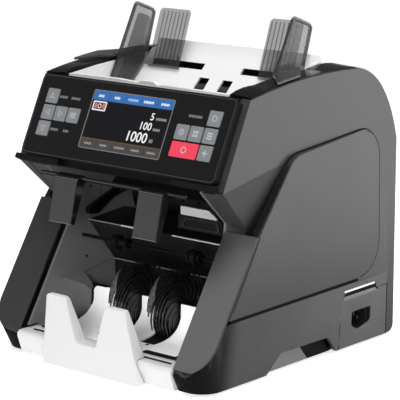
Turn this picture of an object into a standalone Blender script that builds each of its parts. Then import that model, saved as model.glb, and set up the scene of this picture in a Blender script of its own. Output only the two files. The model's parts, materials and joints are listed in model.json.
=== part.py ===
"""Banknote counting machine: two-pocket value counter with a tilted display head.

Lengths in this file are in millimetres and turned into Blender's metres by MM.
X is the width (0 is the middle), -Y is the front, +Z is up, and Z = 0 is the table.
"""
import math

import bmesh
import bpy
from mathutils import Matrix, Vector

MM = 0.001

# ---- driving dimensions -------------------------------------------------------------
GAP = 0.3                    # air between neighbouring pieces
BODY_Z = 2.5                 # underside of the body; the feet reach down to 0
COVER_X = (128.0, 140.0)     # side covers, inner and outer face
BELT_Z = 71.5                # top edge of the lower skirts
SKIRT_X = 141.0              # skirt half-width at the rear and along the bottom edge
SKIRT_END = 150.0            # the side covers run down to the base behind the skirts
FLARE = 8.5                  # how far the belt line widens towards the front
REAR_Y = 165.0
FRONT_Y = -165.0
BAND_X = (107.4, 149.4)      # sloping front bands beside the mouth
BAND_TOP = (-79.0, 150.5)    # band front face, upper end (y, z)
BAND_TOE = (-157.0, 26.3)    # band front face, lower end (y, z)
BAND_T = 2.8
TOE_Z = 28.0                 # the front face leans out up to here
WALL_X = (103.8, 106.8)      # inner side walls of the mouth
HEAD_TOP = (-78.4, 285.5)    # top front edge of the head (y, z)
HEAD_FOOT = (-120.0, 198.5)  # lower front edge of the head (y, z)
HEAD_NOTCH = (-78.0, 157.0)  # where the head meets the bands (y, z)
BEZEL_X = 132.5              # half-width of the display module
BEZEL_U = (5.8, 93.5)        # its lower and upper edge, measured up the head face
BEZEL_H = 8.0                # how far its glass stands in front of the head face
SCREEN_X = 55.0
SCREEN_U = (21.0, 83.0)
KEY = (16.6, 15.8, 3.0)      # key width, height and depth
KEY_PROUD = 0.9
KEY_TRAVEL = 0.8
KEY_COLUMNS = (74.3, 92.4, 110.6)
KEY_ROWS = (34.6, 52.2, 70.0)
TRAY_X = 111.4               # hopper tray half-width
TRAY_T = 2.4
RAMP_RISE = 244.0            # the tray's ramp is the plane z = y + RAMP_RISE
GUIDE_X = 108.6              # outer face of each hopper guide
WHEEL_AXIS = (-58.0, 56.0)   # stacker wheel axis (y, z)
WHEEL_R = 38.0
WHEEL_X = 27.0
WHEEL_W = 18.0
VANES = 14
PICKUP_AXIS = (32.5, 262.5)  # roller axes (y, z)
FEED_AXIS = (10.0, 226.0)
REJECT_AXIS = (-62.0, 112.0)
DRUM_AXIS = (40.0, 150.0)
DRUM_R = 34.0
SHELF_EDGE = (-55.0, 128.0)  # front edge of the reject pocket floor (y, z)
SHELF_LIP = (-15.0, 78.0)    # lower lip of the shelf (y, z)
CATCH_AXIS = (-126.0, 190.5) # note catch pivot (y, z)
CATCH_X = (42.0, 74.0)
REAR_HINGE = (158.5, 82.0)   # rear cover pivot (y, z)
FOOT_R = 9.0

# ---- scene and collections ----------------------------------------------------------
for old in list(bpy.data.objects):
    bpy.data.objects.remove(old, do_unlink=True)

parts = bpy.data.collections.new("banknote_counter")
tools = bpy.data.collections.new("cutters")
bpy.context.scene.collection.children.link(parts)
bpy.context.scene.collection.children.link(tools)


# ---- materials ----------------------------------------------------------------------
def material(name, colour, roughness, metallic=0.0, alpha=1.0):
    """Principled material with one plain colour."""
    mat = bpy.data.materials.new(name)
    mat.use_nodes = True
    shader = mat.node_tree.nodes["Principled BSDF"]
    shader.inputs["Base Color"].default_value = (*colour, 1.0)
    shader.inputs["Roughness"].default_value = roughness
    shader.inputs["Metallic"].default_value = metallic
    shader.inputs["Alpha"].default_value = alpha
    return mat


GREY = material("grey_plastic", (0.14, 0.14, 0.145), 0.35)
DARK = material("dark_plastic", (0.03, 0.03, 0.032), 0.45)
BLACK = material("black_gloss", (0.008, 0.008, 0.009), 0.1)
WHITE = material("white_plastic", (0.85, 0.85, 0.85), 0.35)
SMOKE = material("smoke_plastic", (0.2, 0.2, 0.21), 0.15, alpha=0.5)
KEYCAP = material("key_plastic", (0.22, 0.23, 0.24), 0.5)
REDCAP = material("red_key_plastic", (0.83, 0.05, 0.1), 0.45)
SCREEN = material("screen_glass", (0.01, 0.01, 0.012), 0.08)
RUBBER = material("rubber", (0.012, 0.012, 0.012), 0.7)
STEEL = material("steel", (0.6, 0.6, 0.6), 0.3, metallic=1.0)
BOARD = material("circuit_board", (0.01, 0.12, 0.05), 0.5)


# ---- outline helpers ----------------------------------------------------------------
def fillet(corner, before, after, radius, steps):
    """Points of the arc that rounds one corner of an outline."""
    c, p, q = Vector(corner), Vector(before), Vector(after)
    to_p = (p - c).normalized()
    to_q = (q - c).normalized()
    half = to_p.angle(to_q) / 2
    reach = radius / math.tan(half)
    centre = c + (to_p + to_q).normalized() * (radius / math.sin(half))
    start = c + to_p * reach - centre
    end = c + to_q * reach - centre
    points = []
    for i in range(steps + 1):
        around = start.slerp(end, i / steps).normalized()
        points.append(tuple(centre + around * radius))
    return points


def rounded(corners):
    """Outline from (x, y) or (x, y, radius) corners, with the given radii as arcs."""
    points = []
    for i, corner in enumerate(corners):
        if len(corner) == 2 or corner[2] == 0:
            points.append(tuple(corner[:2]))
            continue
        before = corners[i - 1][:2]
        after = corners[(i + 1) % len(corners)][:2]
        steps = 3 if corner[2] < 3 else 6 if corner[2] < 12 else 10
        points += fillet(corner[:2], before, after, corner[2], steps)
    return points


def offset_path(path, distance):
    """The open path moved sideways by a distance, to its left for a positive one."""
    moved = []
    for i, point in enumerate(path):
        here = Vector(point)
        back = (here - Vector(path[i - 1])).normalized() if i > 0 else None
        ahead = (Vector(path[i + 1]) - here).normalized() if i < len(path) - 1 else None
        back = back or ahead
        ahead = ahead or back
        normal = Vector((-back.y - ahead.y, back.x + ahead.x)).normalized()
        side = Vector((-back.y, back.x))
        moved.append(tuple(here + normal * (distance / normal.dot(side))))
    return moved


def strip(path, thickness):
    """Closed outline of a sheet that follows an open path."""
    return list(path) + offset_path(path, thickness)[::-1]


def bezier(start, control, end, steps):
    """Points along a quadratic Bezier curve, both ends included."""
    a, b, c = Vector(start), Vector(control), Vector(end)
    points = []
    for i in range(steps + 1):
        t = i / steps
        points.append(tuple(a * (1 - t) ** 2 + b * 2 * t * (1 - t) + c * t * t))
    return points


# ---- solid helpers ------------------------------------------------------------------
def add_mesh(name, mesh, mat, matrix=Matrix.Identity(4), collection=parts):
    """Object with its mesh placed by a matrix."""
    obj = bpy.data.objects.new(name, mesh)
    obj.matrix_world = matrix
    collection.objects.link(obj)
    if mat is not None:
        mesh.materials.clear()
        mesh.materials.append(mat)
    return obj


def extrude_outlines(name, outlines, depth):
    """Mesh of flat outlines in XY, made as a filled 2D curve and extruded along Z."""
    curve = bpy.data.curves.new(name, "CURVE")
    curve.dimensions = "2D"
    curve.fill_mode = "BOTH"
    curve.extrude = depth * MM / 2
    for outline in outlines:
        spline = curve.splines.new("POLY")
        spline.points.add(len(outline) - 1)
        for point, (u, v) in zip(spline.points, outline):
            point.co = (u * MM, v * MM, 0.0, 1.0)
        spline.use_cyclic_u = True
    shape = bpy.data.objects.new(name, curve)
    tools.objects.link(shape)
    graph = bpy.context.evaluated_depsgraph_get()
    mesh = bpy.data.meshes.new_from_object(shape.evaluated_get(graph))
    bpy.data.objects.remove(shape)
    bpy.data.curves.remove(curve)
    welded = bmesh.new()
    welded.from_mesh(mesh)
    bmesh.ops.remove_doubles(welded, verts=welded.verts, dist=0.00001)
    bmesh.ops.dissolve_limit(welded, angle_limit=0.001, verts=welded.verts,
                             edges=welded.edges)
    bmesh.ops.recalc_face_normals(welded, faces=welded.faces)
    welded.to_mesh(mesh)
    welded.free()
    return mesh


SIDE_VIEW = Matrix(((0, 0, 1, 0), (1, 0, 0, 0), (0, 1, 0, 0), (0, 0, 0, 1)))
FRONT_VIEW = Matrix(((1, 0, 0, 0), (0, 0, -1, 0), (0, 1, 0, 0), (0, 0, 0, 1)))
PLAN_VIEW = Matrix.Identity(4)


def side_prism(name, outlines, x0, x1, mat, collection=parts):
    """Solid whose (y, z) outline runs from x0 to x1."""
    outlines = outlines if isinstance(outlines[0], list) else [outlines]
    mesh = extrude_outlines(name, outlines, x1 - x0)
    place = Matrix.Translation((MM * (x0 + x1) / 2, 0, 0)) @ SIDE_VIEW
    return add_mesh(name, mesh, mat, place, collection)


def front_prism(name, outlines, y0, y1, mat, collection=parts):
    """Solid whose (x, z) outline runs from y0 to y1."""
    outlines = outlines if isinstance(outlines[0], list) else [outlines]
    mesh = extrude_outlines(name, outlines, y1 - y0)
    place = Matrix.Translation((0, MM * (y0 + y1) / 2, 0)) @ FRONT_VIEW
    return add_mesh(name, mesh, mat, place, collection)


def plan_prism(name, outlines, z0, z1, mat, collection=parts):
    """Solid whose (x, y) outline runs from z0 to z1."""
    outlines = outlines if isinstance(outlines[0], list) else [outlines]
    mesh = extrude_outlines(name, outlines, z1 - z0)
    place = Matrix.Translation((0, 0, MM * (z0 + z1) / 2))
    return add_mesh(name, mesh, mat, place, collection)


def box(name, low, high, mat, collection=parts, frame=Matrix.Identity(4)):
    """Box between two corners, in the world or in a given frame."""
    mesh = bpy.data.meshes.new(name)
    cube = bmesh.new()
    bmesh.ops.create_cube(cube, size=1.0)
    size = [(b - a) * MM for a, b in zip(low, high)]
    centre = [(a + b) / 2 * MM for a, b in zip(low, high)]
    bmesh.ops.scale(cube, vec=size, verts=cube.verts)
    cube.to_mesh(mesh)
    cube.free()
    return add_mesh(name, mesh, mat, frame @ Matrix.Translation(centre), collection)


def cylinder_x(name, x0, x1, axis, radius, mat, segments=24, collection=parts):
    """Round bar along X about an axis at (y, z)."""
    mesh = bpy.data.meshes.new(name)
    bar = bmesh.new()
    bmesh.ops.create_cone(bar, cap_ends=True, segments=segments, radius1=radius * MM,
                          radius2=radius * MM, depth=(x1 - x0) * MM)
    bar.to_mesh(mesh)
    bar.free()
    mesh.shade_smooth()
    mesh.set_sharp_from_angle(angle=math.radians(40))
    place = Matrix.Translation((MM * (x0 + x1) / 2, axis[0] * MM, axis[1] * MM)) @ SIDE_VIEW
    return add_mesh(name, mesh, mat, place, collection)


def boolean(target, tool, operation):
    """Boolean modifier with a helper shape that stays out of the build."""
    for collection in list(tool.users_collection):
        collection.objects.unlink(tool)
    tools.objects.link(tool)
    tool.hide_render = True
    tool.display_type = "WIRE"
    modifier = target.modifiers.new(operation.lower(), "BOOLEAN")
    modifier.operation = operation
    modifier.object = tool
    modifier.solver = "EXACT"
    return target


def cut(target, *cutters):
    for cutter in cutters:
        boolean(target, cutter, "DIFFERENCE")
    return target


def join(target, *others):
    for other in others:
        boolean(target, other, "UNION")
    return target


def soften(obj, width, segments=2, angle=35):
    """Rounded edges."""
    bevel = obj.modifiers.new("edge", "BEVEL")
    bevel.width = width * MM
    bevel.segments = segments
    bevel.limit_method = "ANGLE"
    bevel.angle_limit = math.radians(angle)
    return obj


def move_vertices(obj, rule):
    """Shape a solid by a rule that maps world millimetres to world millimetres."""
    to_world = obj.matrix_world
    to_local = to_world.inverted()
    for vertex in obj.data.vertices:
        world = to_world @ vertex.co / MM
        vertex.co = to_local @ (Vector(rule(*world)) * MM)
    return obj


def add_ring(obj, height):
    """Extra row of vertices round a solid at one height, for a rule to bend it at."""
    shape = bmesh.new()
    shape.from_mesh(obj.data)
    level = obj.matrix_world.inverted() @ Vector((0, 0, height * MM))
    bmesh.ops.bisect_plane(shape, geom=shape.verts[:] + shape.edges[:] + shape.faces[:],
                           plane_co=level, plane_no=(0, 0, 1))
    shape.to_mesh(obj.data)
    shape.free()


def hang_on(name, point, *children):
    """Empty on a joint's axis that carries a moving piece."""
    empty = bpy.data.objects.new(name, None)
    empty.location = [value * MM for value in point]
    parts.objects.link(empty)
    for child in children:
        child.parent = empty
        child.matrix_parent_inverse = Matrix.Translation(empty.location).inverted()
    return empty


SIDES = (("left", -1), ("right", 1))


def between(side, near, far):
    """The x range of a piece that lies from near to far on one side."""
    return (near, far) if side > 0 else (-far, -near)


# ---- shared profiles ----------------------------------------------------------------
def top_z(y):
    """Height of the body's top edge."""
    d = y - HEAD_TOP[0]
    return HEAD_TOP[1] + 0.196 * d - 0.00073 * d * d


TOP_END = 92.0
TOP_EDGE = [(y, top_z(y)) for y in (HEAD_TOP[0], -50, -20, 10, 40, 68, TOP_END)]
REAR_EDGE = bezier((TOP_END, top_z(TOP_END)), (146, 290), (REAR_Y, 215), 10)


def belt_x(y):
    """Half-width of the body along the belt line."""
    return SKIRT_X + 1.0 + FLARE * max(0.0, 136.0 - y) / 259.0


def band_frame(h):
    """Frame on the band's front face: X across, Y up the band, Z out of its face."""
    top, toe = Vector(BAND_TOP), Vector(BAND_TOE)
    up = (top - toe).normalized()
    out = Vector((-up.y, up.x))
    start = (toe + out * h) * MM
    return Matrix(((1, 0, 0, 0), (0, up.x, out.x, start.x), (0, up.y, out.y, start.y),
                   (0, 0, 0, 1)))


def head_frame_matrix():
    """Frame on the head's face: X across, Y up the face, Z out of it."""
    foot = Vector(HEAD_FOOT)
    up = (Vector(HEAD_TOP) - foot).normalized()
    out = Vector((-up.y, up.x))
    return Matrix(((1, 0, 0, 0), (0, up.x, out.x, foot.x * MM),
                   (0, up.y, out.y, foot.y * MM), (0, 0, 0, 1)))


HEAD = head_frame_matrix()


def head_prism(name, outlines, h0, h1, mat, collection=parts):
    """Solid on the head's face: its (x, u) outline runs from height h0 to h1."""
    outlines = outlines if isinstance(outlines[0], list) else [outlines]
    mesh = extrude_outlines(name, outlines, h1 - h0)
    place = HEAD @ Matrix.Translation((0, 0, MM * (h0 + h1) / 2))
    return add_mesh(name, mesh, mat, place, collection)


def panel_outline(x0, x1, u0, u1, radius):
    return rounded([(x0, u0, radius), (x1, u0, radius), (x1, u1, radius), (x0, u1, radius)])


# ---- base ---------------------------------------------------------------------------
def base_pan():
    """Bottom plate that carries the chassis, motor and boards."""
    outline = rounded([(-134, -106, 6), (134, -106, 6), (134, 149.6, 6), (-134, 149.6, 6)])
    return plan_prism("base_pan", outline, BODY_Z, 5.5, DARK)


def feet():
    for name, side in SIDES:
        for end, y in (("front", -112.0), ("rear", 140.0)):
            foot = cylinder_x(f"foot_{end}_{name}", 0, BODY_Z - GAP, (0, 0), FOOT_R, RUBBER)
            centre = (side * 112 * MM, y * MM, (BODY_Z - GAP) / 2 * MM)
            foot.matrix_world = Matrix.Translation(centre)


def front_base():
    """White bumper under the stacker pocket, with two grooves on each side."""
    outline = [(-153.5, BODY_Z), (-160.0, 21.5), (-159.6, 25.0), (-157.0, 27.0),
               (-131.0, 27.0), (-131.0, BODY_Z)]
    base = side_prism("front_base", outline, -106.6, 106.6, WHITE)
    for name, side in SIDES:
        for y in (-137.5, -147.0):
            x0, x1 = between(side, 40, 96)
            cut(base, box(f"groove_{name}_{-y:.0f}", (x0, y, 24.8), (x1, y + 3.0, 40), None))
    return base


def skirt(name, side):
    """Lower side wall that wraps round the front corner under the band."""
    stations = [132.0 - 26.0 * i for i in range(10)]
    outer = [(SKIRT_X, SKIRT_END)] + [(SKIRT_X, y) for y in stations]
    outer += fillet((SKIRT_X, -148.0), (SKIRT_X, 0), (107.4, -148.0), 23, 8)
    outer += [(107.4, -148.0)]
    inner = offset_path(outer, -4.2)
    outline = [(side * x, y) for x, y in outer + inner[::-1]]
    wall = plan_prism(f"{name}_skirt", outline, BODY_Z, BELT_Z, GREY)

    def lean(x, y, z):
        rise = (z - BODY_Z) / (BELT_Z - BODY_Z)
        front = min(1.0, max(0.0, (-114.0 - y) / 34.0))
        across = min(1.0, max(0.0, (abs(x) - 107.4) / 26.0))
        wider = (belt_x(y) - SKIRT_X) * rise * across
        return x + side * wider, y - front * 0.5 * min(z - BODY_Z, TOE_Z - BODY_Z), z

    add_ring(wall, TOE_Z)
    move_vertices(wall, lean)
    # everything in front of the band's back face belongs to the band
    cut(wall, box(f"{name}_band_zone", (-200, -60, -BAND_T - GAP), (200, 200, 80), None,
                  tools, band_frame(0)))
    x0, x1 = between(side, 120, 165)
    grip = [(62, -5), (62, BODY_Z), (45, 21), (-34, 22), (-49.5, 6.5), (-54, BODY_Z),
            (-54, -5)]
    cut(wall, side_prism(f"{name}_grip", grip, x0, x1, None))
    if side > 0:
        door = [(66, -5), (160, -5), (160, 58.4), (130, 58.4), (128, 65.5), (71, 65.5),
                (71, 58.4), (66, 58.4)]
        cut(wall, side_prism("inlet_door_hole", door, x0, x1, None))
    return wall


def band(name, side):
    """Flat sloping front strip beside the mouth, rounded at its lower outer corner."""
    x0, x1 = between(side, *BAND_X)
    piece = side_prism(f"{name}_band", strip([BAND_TOP, BAND_TOE], BAND_T), x0, x1, GREY)
    front = rounded([(side * 100, 24.4), (side * BAND_X[1], 24.4, 29),
                     (side * BAND_X[1], 170), (side * 100, 170)])
    boolean(piece, front_prism(f"{name}_band_outline", front, -180, -60, None), "INTERSECT")
    return piece


def side_cover(name, side):
    """Upper side shell, with the head's cheek and a slanting facet below it."""
    tail = fillet((REAR_Y, BODY_Z), (REAR_Y, 50), (SKIRT_END, BODY_Z), 9, 5)
    lower = tail + [(SKIRT_END + GAP, BODY_Z), (SKIRT_END + GAP, BELT_Z + GAP),
                    (-115.5, BELT_Z + GAP), (-69.5, 146.5), HEAD_NOTCH, HEAD_FOOT]
    outline = TOP_EDGE + REAR_EDGE[1:] + lower
    x0, x1 = between(side, *COVER_X)
    cover = side_prism(f"{name}_cover", outline, x0, x1, GREY)
    # cheek under the head, reaching in to the mouth
    y0, z0 = HEAD_FOOT
    y1, z1 = HEAD_NOTCH
    cheek = strip([(y1 + 0.6, z1 + 0.4), (y0 + 6.5, z0 - 4.0)], -4.0)
    cheek_x = between(side, 108.5, COVER_X[0] + 2)
    join(cover, side_prism(f"{name}_cheek", cheek, *cheek_x, None))
    # facet between the head's lower front edge and the panel's top corner
    crease = Vector((0, 112.0, 20.5)).normalized()
    down = Vector((0, crease.z, -crease.y))
    sideways = Vector((side, 0, 0))
    tilt = math.radians(8.5)
    slope = down * math.cos(tilt) - sideways * math.sin(tilt)
    out = sideways * math.cos(tilt) + down * math.sin(tilt)
    facet = Matrix((crease * -side, slope, out)).transposed().to_4x4()
    facet.translation = Vector((side * COVER_X[1], y0, z0)) * MM
    cut(cover, box(f"{name}_facet", (-150, 0, 0), (150, 90, 30), None, tools, facet))
    # seat of the glossy top band
    seat = strip([(HEAD_TOP[0] - 20, top_z(HEAD_TOP[0]) - 4)] + TOP_EDGE
                 + [(TOP_END + 5, top_z(TOP_END + 5))], -1.4)
    seat_x = between(side, 100, COVER_X[1] + 5)
    cut(cover, side_prism(f"{name}_band_seat", seat, *seat_x, None))
    return cover


def side_panel(name, side):
    """Removable side panel that thins from its front edge to its rear edge."""
    outline = rounded([(-122.4, BELT_Z + 3.0), (-75.0, 150.3), (-18.0, 221.0, 28),
                       (132.0, 235.0, 32), (136.0, BELT_Z + 3.0, 36)])
    x0, x1 = between(side, COVER_X[1] + GAP, SKIRT_X + 1.0)
    panel = side_prism(f"{name}_panel", outline, x0, x1, GREY)

    def widen(x, y, z):
        if abs(x) < SKIRT_X:
            return x, y, z
        return side * belt_x(y), y, z

    move_vertices(panel, widen)
    return soften(panel, 0.8)


def inner_wall(name, side):
    """Side wall of the mouth and chassis plate, with the pocket's angled cheek."""
    outline = [(-144.5, 29.5), (-77.5, 137.5), (-76.0, 157.5), (-113.0, 194.0),
               (-66.0, 244.0), (110.0, 244.0), (110.0, 6.2), (-129.8, 6.2), (-129.8, 29.5)]
    x0, x1 = between(side, *WALL_X)
    wall = side_prism(f"{name}_inner_wall", outline, x0, x1, GREY)
    plan = [(side * 105.0, -102.0), (side * 87.0, -71.0), (side * 87.0, -64.0),
            (side * 105.0, -64.0)]
    cheek = plan_prism(f"{name}_pocket_cheek", plan, 28.5, 80.0, None)
    slope = [(side * 87.0, 20.0), (side * 87.0, 56.0), (side * 89.5, 62.0),
             (side * 100.0, 71.0), (side * 106.0, 74.0), (side * 106.0, 20.0)]
    boolean(cheek, front_prism(f"{name}_cheek_slope", slope, -120, -50, None), "INTERSECT")
    join(wall, cheek)
    holes = [(WHEEL_AXIS, 4.6), (REJECT_AXIS, 2.2), (FEED_AXIS, 5.6), (DRUM_AXIS, 6.6)]
    for i, (axis, radius) in enumerate(holes):
        cut(wall, cylinder_x(f"{name}_bearing_{i}", x0 - 5, x1 + 5, axis, radius, None,
                             collection=tools))
    return wall


# ---- display head -------------------------------------------------------------------
def head_frame():
    """Frame behind the display module, with a lip under it on each side."""
    plate = head_prism("head_frame", [panel_outline(-127.6, 127.6, 0.5, 95.5, 2),
                                      panel_outline(-118, 118, 12, 86, 4)], -5, 0, DARK)
    for name, side in SIDES:
        x0, x1 = between(side, 77.5, 139.6)
        lip = panel_outline(x0, x1, -0.8, 5.0, 1.5)
        x0, x1 = between(side, 77.5, 127.0)
        root = panel_outline(x0, x1, 0.5, 5.0, 0)
        join(plate, head_prism(f"{name}_lip", lip, GAP, 6.8, None),
             head_prism(f"{name}_lip_root", root, -3, 1.5, None))
    return plate


def key_places():
    """Name, centre and half-width of each key on the head's face."""
    low, middle, high = KEY_ROWS
    near, mid, far = KEY_COLUMNS
    half = KEY[0] / 2
    wide = (mid - near) / 2 + half
    return [
        ("key_up", -far, high, half), ("key_left", -far, middle, half),
        ("key_right", -mid, middle, half), ("key_menu", -near, middle, half),
        ("key_down", -far, low, half), ("key_auto", far, high, half),
        ("key_currency", near, middle, half), ("key_mode", mid, middle, half),
        ("key_batch", far, middle, half), ("key_reset", (near + mid) / 2, low, wide),
        ("key_add", far, low, half),
    ]


def display_bezel():
    """Black module with a blind pocket for each key and for the screen."""
    outline = rounded([(-BEZEL_X, BEZEL_U[0], 6), (BEZEL_X, BEZEL_U[0], 6),
                       (BEZEL_X, BEZEL_U[1], 6), (-BEZEL_X, BEZEL_U[1], 6)])
    bezel = head_prism("display_bezel", outline, GAP, BEZEL_H, BLACK)
    room = KEY[2] - KEY_PROUD + KEY_TRAVEL + GAP
    for name, x, u, half in key_places():
        hole = panel_outline(x - half - GAP, x + half + GAP, u - KEY[1] / 2 - GAP,
                             u + KEY[1] / 2 + GAP, 1.0)
        cut(bezel, head_prism(f"{name}_pocket", hole, BEZEL_H - room, BEZEL_H + 5, None))
    glass = panel_outline(-SCREEN_X - GAP, SCREEN_X + GAP, SCREEN_U[0] - GAP,
                          SCREEN_U[1] + GAP, 2.0)
    cut(bezel, head_prism("screen_pocket", glass, BEZEL_H - 2.5, BEZEL_H + 5, None))
    return bezel


def screen():
    outline = panel_outline(-SCREEN_X, SCREEN_X, *SCREEN_U, 2.0)
    return head_prism("screen", outline, BEZEL_H - 2.2, BEZEL_H - 0.1, SCREEN)


def keys():
    """Keys, each with its origin in the middle of its own cap."""
    for name, x, u, half in key_places():
        outline = panel_outline(-half, half, -KEY[1] / 2, KEY[1] / 2, 1.2)
        mat = REDCAP if name == "key_reset" else KEYCAP
        mesh = extrude_outlines(name, [outline], KEY[2])
        height = BEZEL_H + KEY_PROUD - KEY[2] / 2
        place = HEAD @ Matrix.Translation((x * MM, u * MM, height * MM))
        soften(add_mesh(name, mesh, mat, place), 0.4, 1)


def display_board():
    return head_prism("display_board", panel_outline(-112, 112, 16, 82, 2), -4.6, -2.8, BOARD)


# ---- hopper -------------------------------------------------------------------------
def ramp(y, lift=0.0):
    return (y, y + RAMP_RISE + lift)


def hopper_tray():
    """White tray: front edge, feed trough, slotted ramp and the rest behind the notes."""
    path = [(-73.5, 284.5), (-66.0, 284.5), (-56.0, 256.0), (-38.0, 247.0), (-4.0, 247.0),
            ramp(8.0), ramp(56.0), (66.0, 302.5), (90.0, 297.5)]
    tray = side_prism("hopper_tray", strip(path, -TRAY_T), 0.8 - TRAY_X, TRAY_X - 0.8, WHITE)
    rest = [(55.0, 298.6), (61.0, 311.0), (76.0, 308.0), (84.0, 298.6)]
    join(tray, side_prism("note_rest", rest, -104, 104, None))
    for name, side in SIDES:
        side_wall = [(-72.5, 283.3), (-73.0, 285.5), (-30.0, 290.5), (49.0, 296.5),
                     ramp(49.0, -1.6), ramp(7.0, -1.4), (-4.0, 245.8), (-38.0, 245.8),
                     (-57.0, 255.0), (-66.8, 283.0)]
        x0, x1 = between(side, TRAY_X - 1.6, TRAY_X)
        join(tray, side_prism(f"{name}_tray_wall", side_wall, x0, x1, None))
        x0, x1 = between(side, 9.0, 23.0)
        cut(tray, box(f"{name}_roller_slot", (x0, 10, 262.5), (x1, 45, 278.0), None))
        x0, x1 = between(side, 26.0, 99.0)
        cut(tray, box(f"{name}_guide_slot", (x0, 30, 284.4), (x1, 60, 290.8), None))
    return tray


def hopper_guide(name, side):
    """Sliding guide: side plate, ribbed plate behind it and a tongue through the slot."""
    plate = rounded([(-22.0, 258.0, 4), (27.0, 354.5, 5), (59.0, 342.5, 8), (45.5, 300.0),
                     (43.5, 290.0), (12.0, 258.8, 2)])
    x0, x1 = between(side, GUIDE_X - 2.2, GUIDE_X)
    guide = side_prism(f"{name}_guide", plate, x0, x1, SMOKE)
    ribbed = strip([(34.6, 283.5), (56.5, 345.0)], -2.2)
    x0, x1 = between(side, 55.0, 98.0)
    back = side_prism(f"{name}_ribbed", ribbed, x0, x1, None)
    corners = rounded([(x0, 270), (x1, 270), (x1, 344.8, 5), (x0, 344.8, 5)])
    boolean(back, front_prism(f"{name}_ribbed_outline", corners, 0, 100, None), "INTERSECT")
    x0, x1 = between(side, 60.0, GUIDE_X - 1.0)
    bracket = side_prism(f"{name}_bracket",
                         [(35.6, 285.0), (40.6, 299.0), (43.0, 299.0), (43.0, 288.6),
                          (40.6, 286.2)], x0, x1, None)
    x0, x1 = between(side, 70.0, 97.0)
    tongue = box(f"{name}_tongue", (x0, 38.5, 286.4), (x1, 60.0, 289.2), None)
    x0, x1 = between(side, GUIDE_X - 1.5, 139.0)
    shoe_path = [(y, top_z(y) + 4.0) for y in (-40, -20, 0, 20, 42)]
    shoe = side_prism(f"{name}_shoe", strip(shoe_path, -2.6), x0, x1, None)
    slant = [(side * 106.0, -4.0), (side * 140.0, -38.0), (side * 140.0, -2.0),
             (side * 106.0, 38.0)]
    boolean(shoe, plan_prism(f"{name}_shoe_slant", slant, 260, 320, None), "INTERSECT")
    return join(guide, back, bracket, tongue, shoe)


def top_band(name, side):
    """Glossy black strip along the top edge, from the head to the rear curve."""
    edge = TOP_EDGE[:-1] + [(TOP_END, top_z(TOP_END))]
    edge[0] = (HEAD_TOP[0] + 0.6, top_z(HEAD_TOP[0] + 0.6))
    x0, x1 = between(side, TRAY_X + GAP, COVER_X[1] - 0.2)
    piece = side_prism(f"{name}_top_band", strip(edge, -1.1), x0, x1, BLACK)
    x0, x1 = between(side, TRAY_X + GAP, COVER_X[0] - GAP)
    root = side_prism(f"{name}_top_band_root", strip(edge[1:], -9.0), x0, x1, None)
    return join(piece, root)


# ---- feed, transport and reject pocket ------------------------------------------------
def roller_shaft(name, axis, radius, reach, rollers, roller_r, mat):
    """Shaft along X with wider rollers on it, as one turning piece."""
    shaft = cylinder_x(name, -reach, reach, axis, radius, mat, 20)
    for i, (x0, x1) in enumerate(rollers):
        join(shaft, cylinder_x(f"{name}_{i}", x0, x1, axis, roller_r, None, 32))
    hang_on(f"{name}_axis", (0, *axis), shaft)
    return shaft


def shelf():
    """Floor of the reject pocket, folded down to a lip and on behind the wheels."""
    path = [(2.0, 133.0), SHELF_EDGE, SHELF_LIP, (-12.0, 20.0)]
    return side_prism("reject_shelf", strip(path, 2.4), -103.3, 103.3, DARK)


def chute():
    """Upper guide plate that leads rejected notes out over the shelf."""
    path = [(-20.0, 158.0), (-6.0, 170.0), (28.0, 196.0)]
    return side_prism("reject_chute", strip(path, 2.4), -103.3, 103.3, DARK)


def head_floor():
    """Plate under the head, between the cheeks and above the reject pocket."""
    path = [(-104.0, 198.5), (-72.0, 208.0), (-20.0, 214.0)]
    return side_prism("head_floor", strip(path, 2.4), -103.3, 103.3, DARK)


def note_catches():
    """Two paddles on one shaft that hold rejected notes in their pocket."""
    shaft = cylinder_x("catch_shaft", -100, 100, CATCH_AXIS, 2.4, STEEL, 16)
    outline = rounded([(CATCH_AXIS[0] - 6.0, CATCH_AXIS[1] + 1.0, 2),
                       (CATCH_AXIS[0] - 17.0, CATCH_AXIS[1] - 45.0, 1.5),
                       (CATCH_AXIS[0] - 12.0, CATCH_AXIS[1] - 46.0, 1.5),
                       (CATCH_AXIS[0] + 5.0, CATCH_AXIS[1] - 4.0, 3),
                       (CATCH_AXIS[0] + 4.5, CATCH_AXIS[1] + 4.0, 3)])
    catches = [shaft]
    for name, side in SIDES:
        x0, x1 = between(side, *CATCH_X)
        paddle = side_prism(f"{name}_note_catch", outline, x0, x1, DARK)
        cut(paddle, cylinder_x(f"{name}_catch_bore", x0 - 5, x1 + 5, CATCH_AXIS, 2.45, None,
                               16, tools))
        catches.append(paddle)
    hang_on("catch_axis", (0, *CATCH_AXIS), *catches)


def sensor_unit():
    """Image sensor block facing the transport drum."""
    outline = rounded([(62.0, 196.0, 3), (96.0, 196.0, 3), (104.0, 226.0, 3), (56.0, 226.0, 3)])
    return side_prism("image_sensor", outline, -100, 100, DARK)


# ---- stacker pocket -------------------------------------------------------------------
def stacker_plate():
    """White curved back and floor of the stacker pocket, slotted for the wheels."""
    path = [(-66.0, 61.0)] + bezier((-66.5, 46.0), (-72.0, 28.5), (-98.0, 27.2), 6)
    path += [(-130.4, 27.2)]
    plate = side_prism("stacker_plate", strip(path, 2.2), -86, 86, WHITE)
    front = rounded([(-86, 10), (86, 10), (86, 61.2, 9), (-86, 61.2, 9)])
    boolean(plate, front_prism("stacker_plate_outline", front, -140, -50, None), "INTERSECT")
    for name, side in SIDES:
        x0, x1 = between(side, WHEEL_X - WHEEL_W / 2 - 2, WHEEL_X + WHEEL_W / 2 + 2)
        cut(plate, box(f"{name}_wheel_slot", (x0, -108, 10), (x1, -40, 70), None))
    return plate


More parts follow.
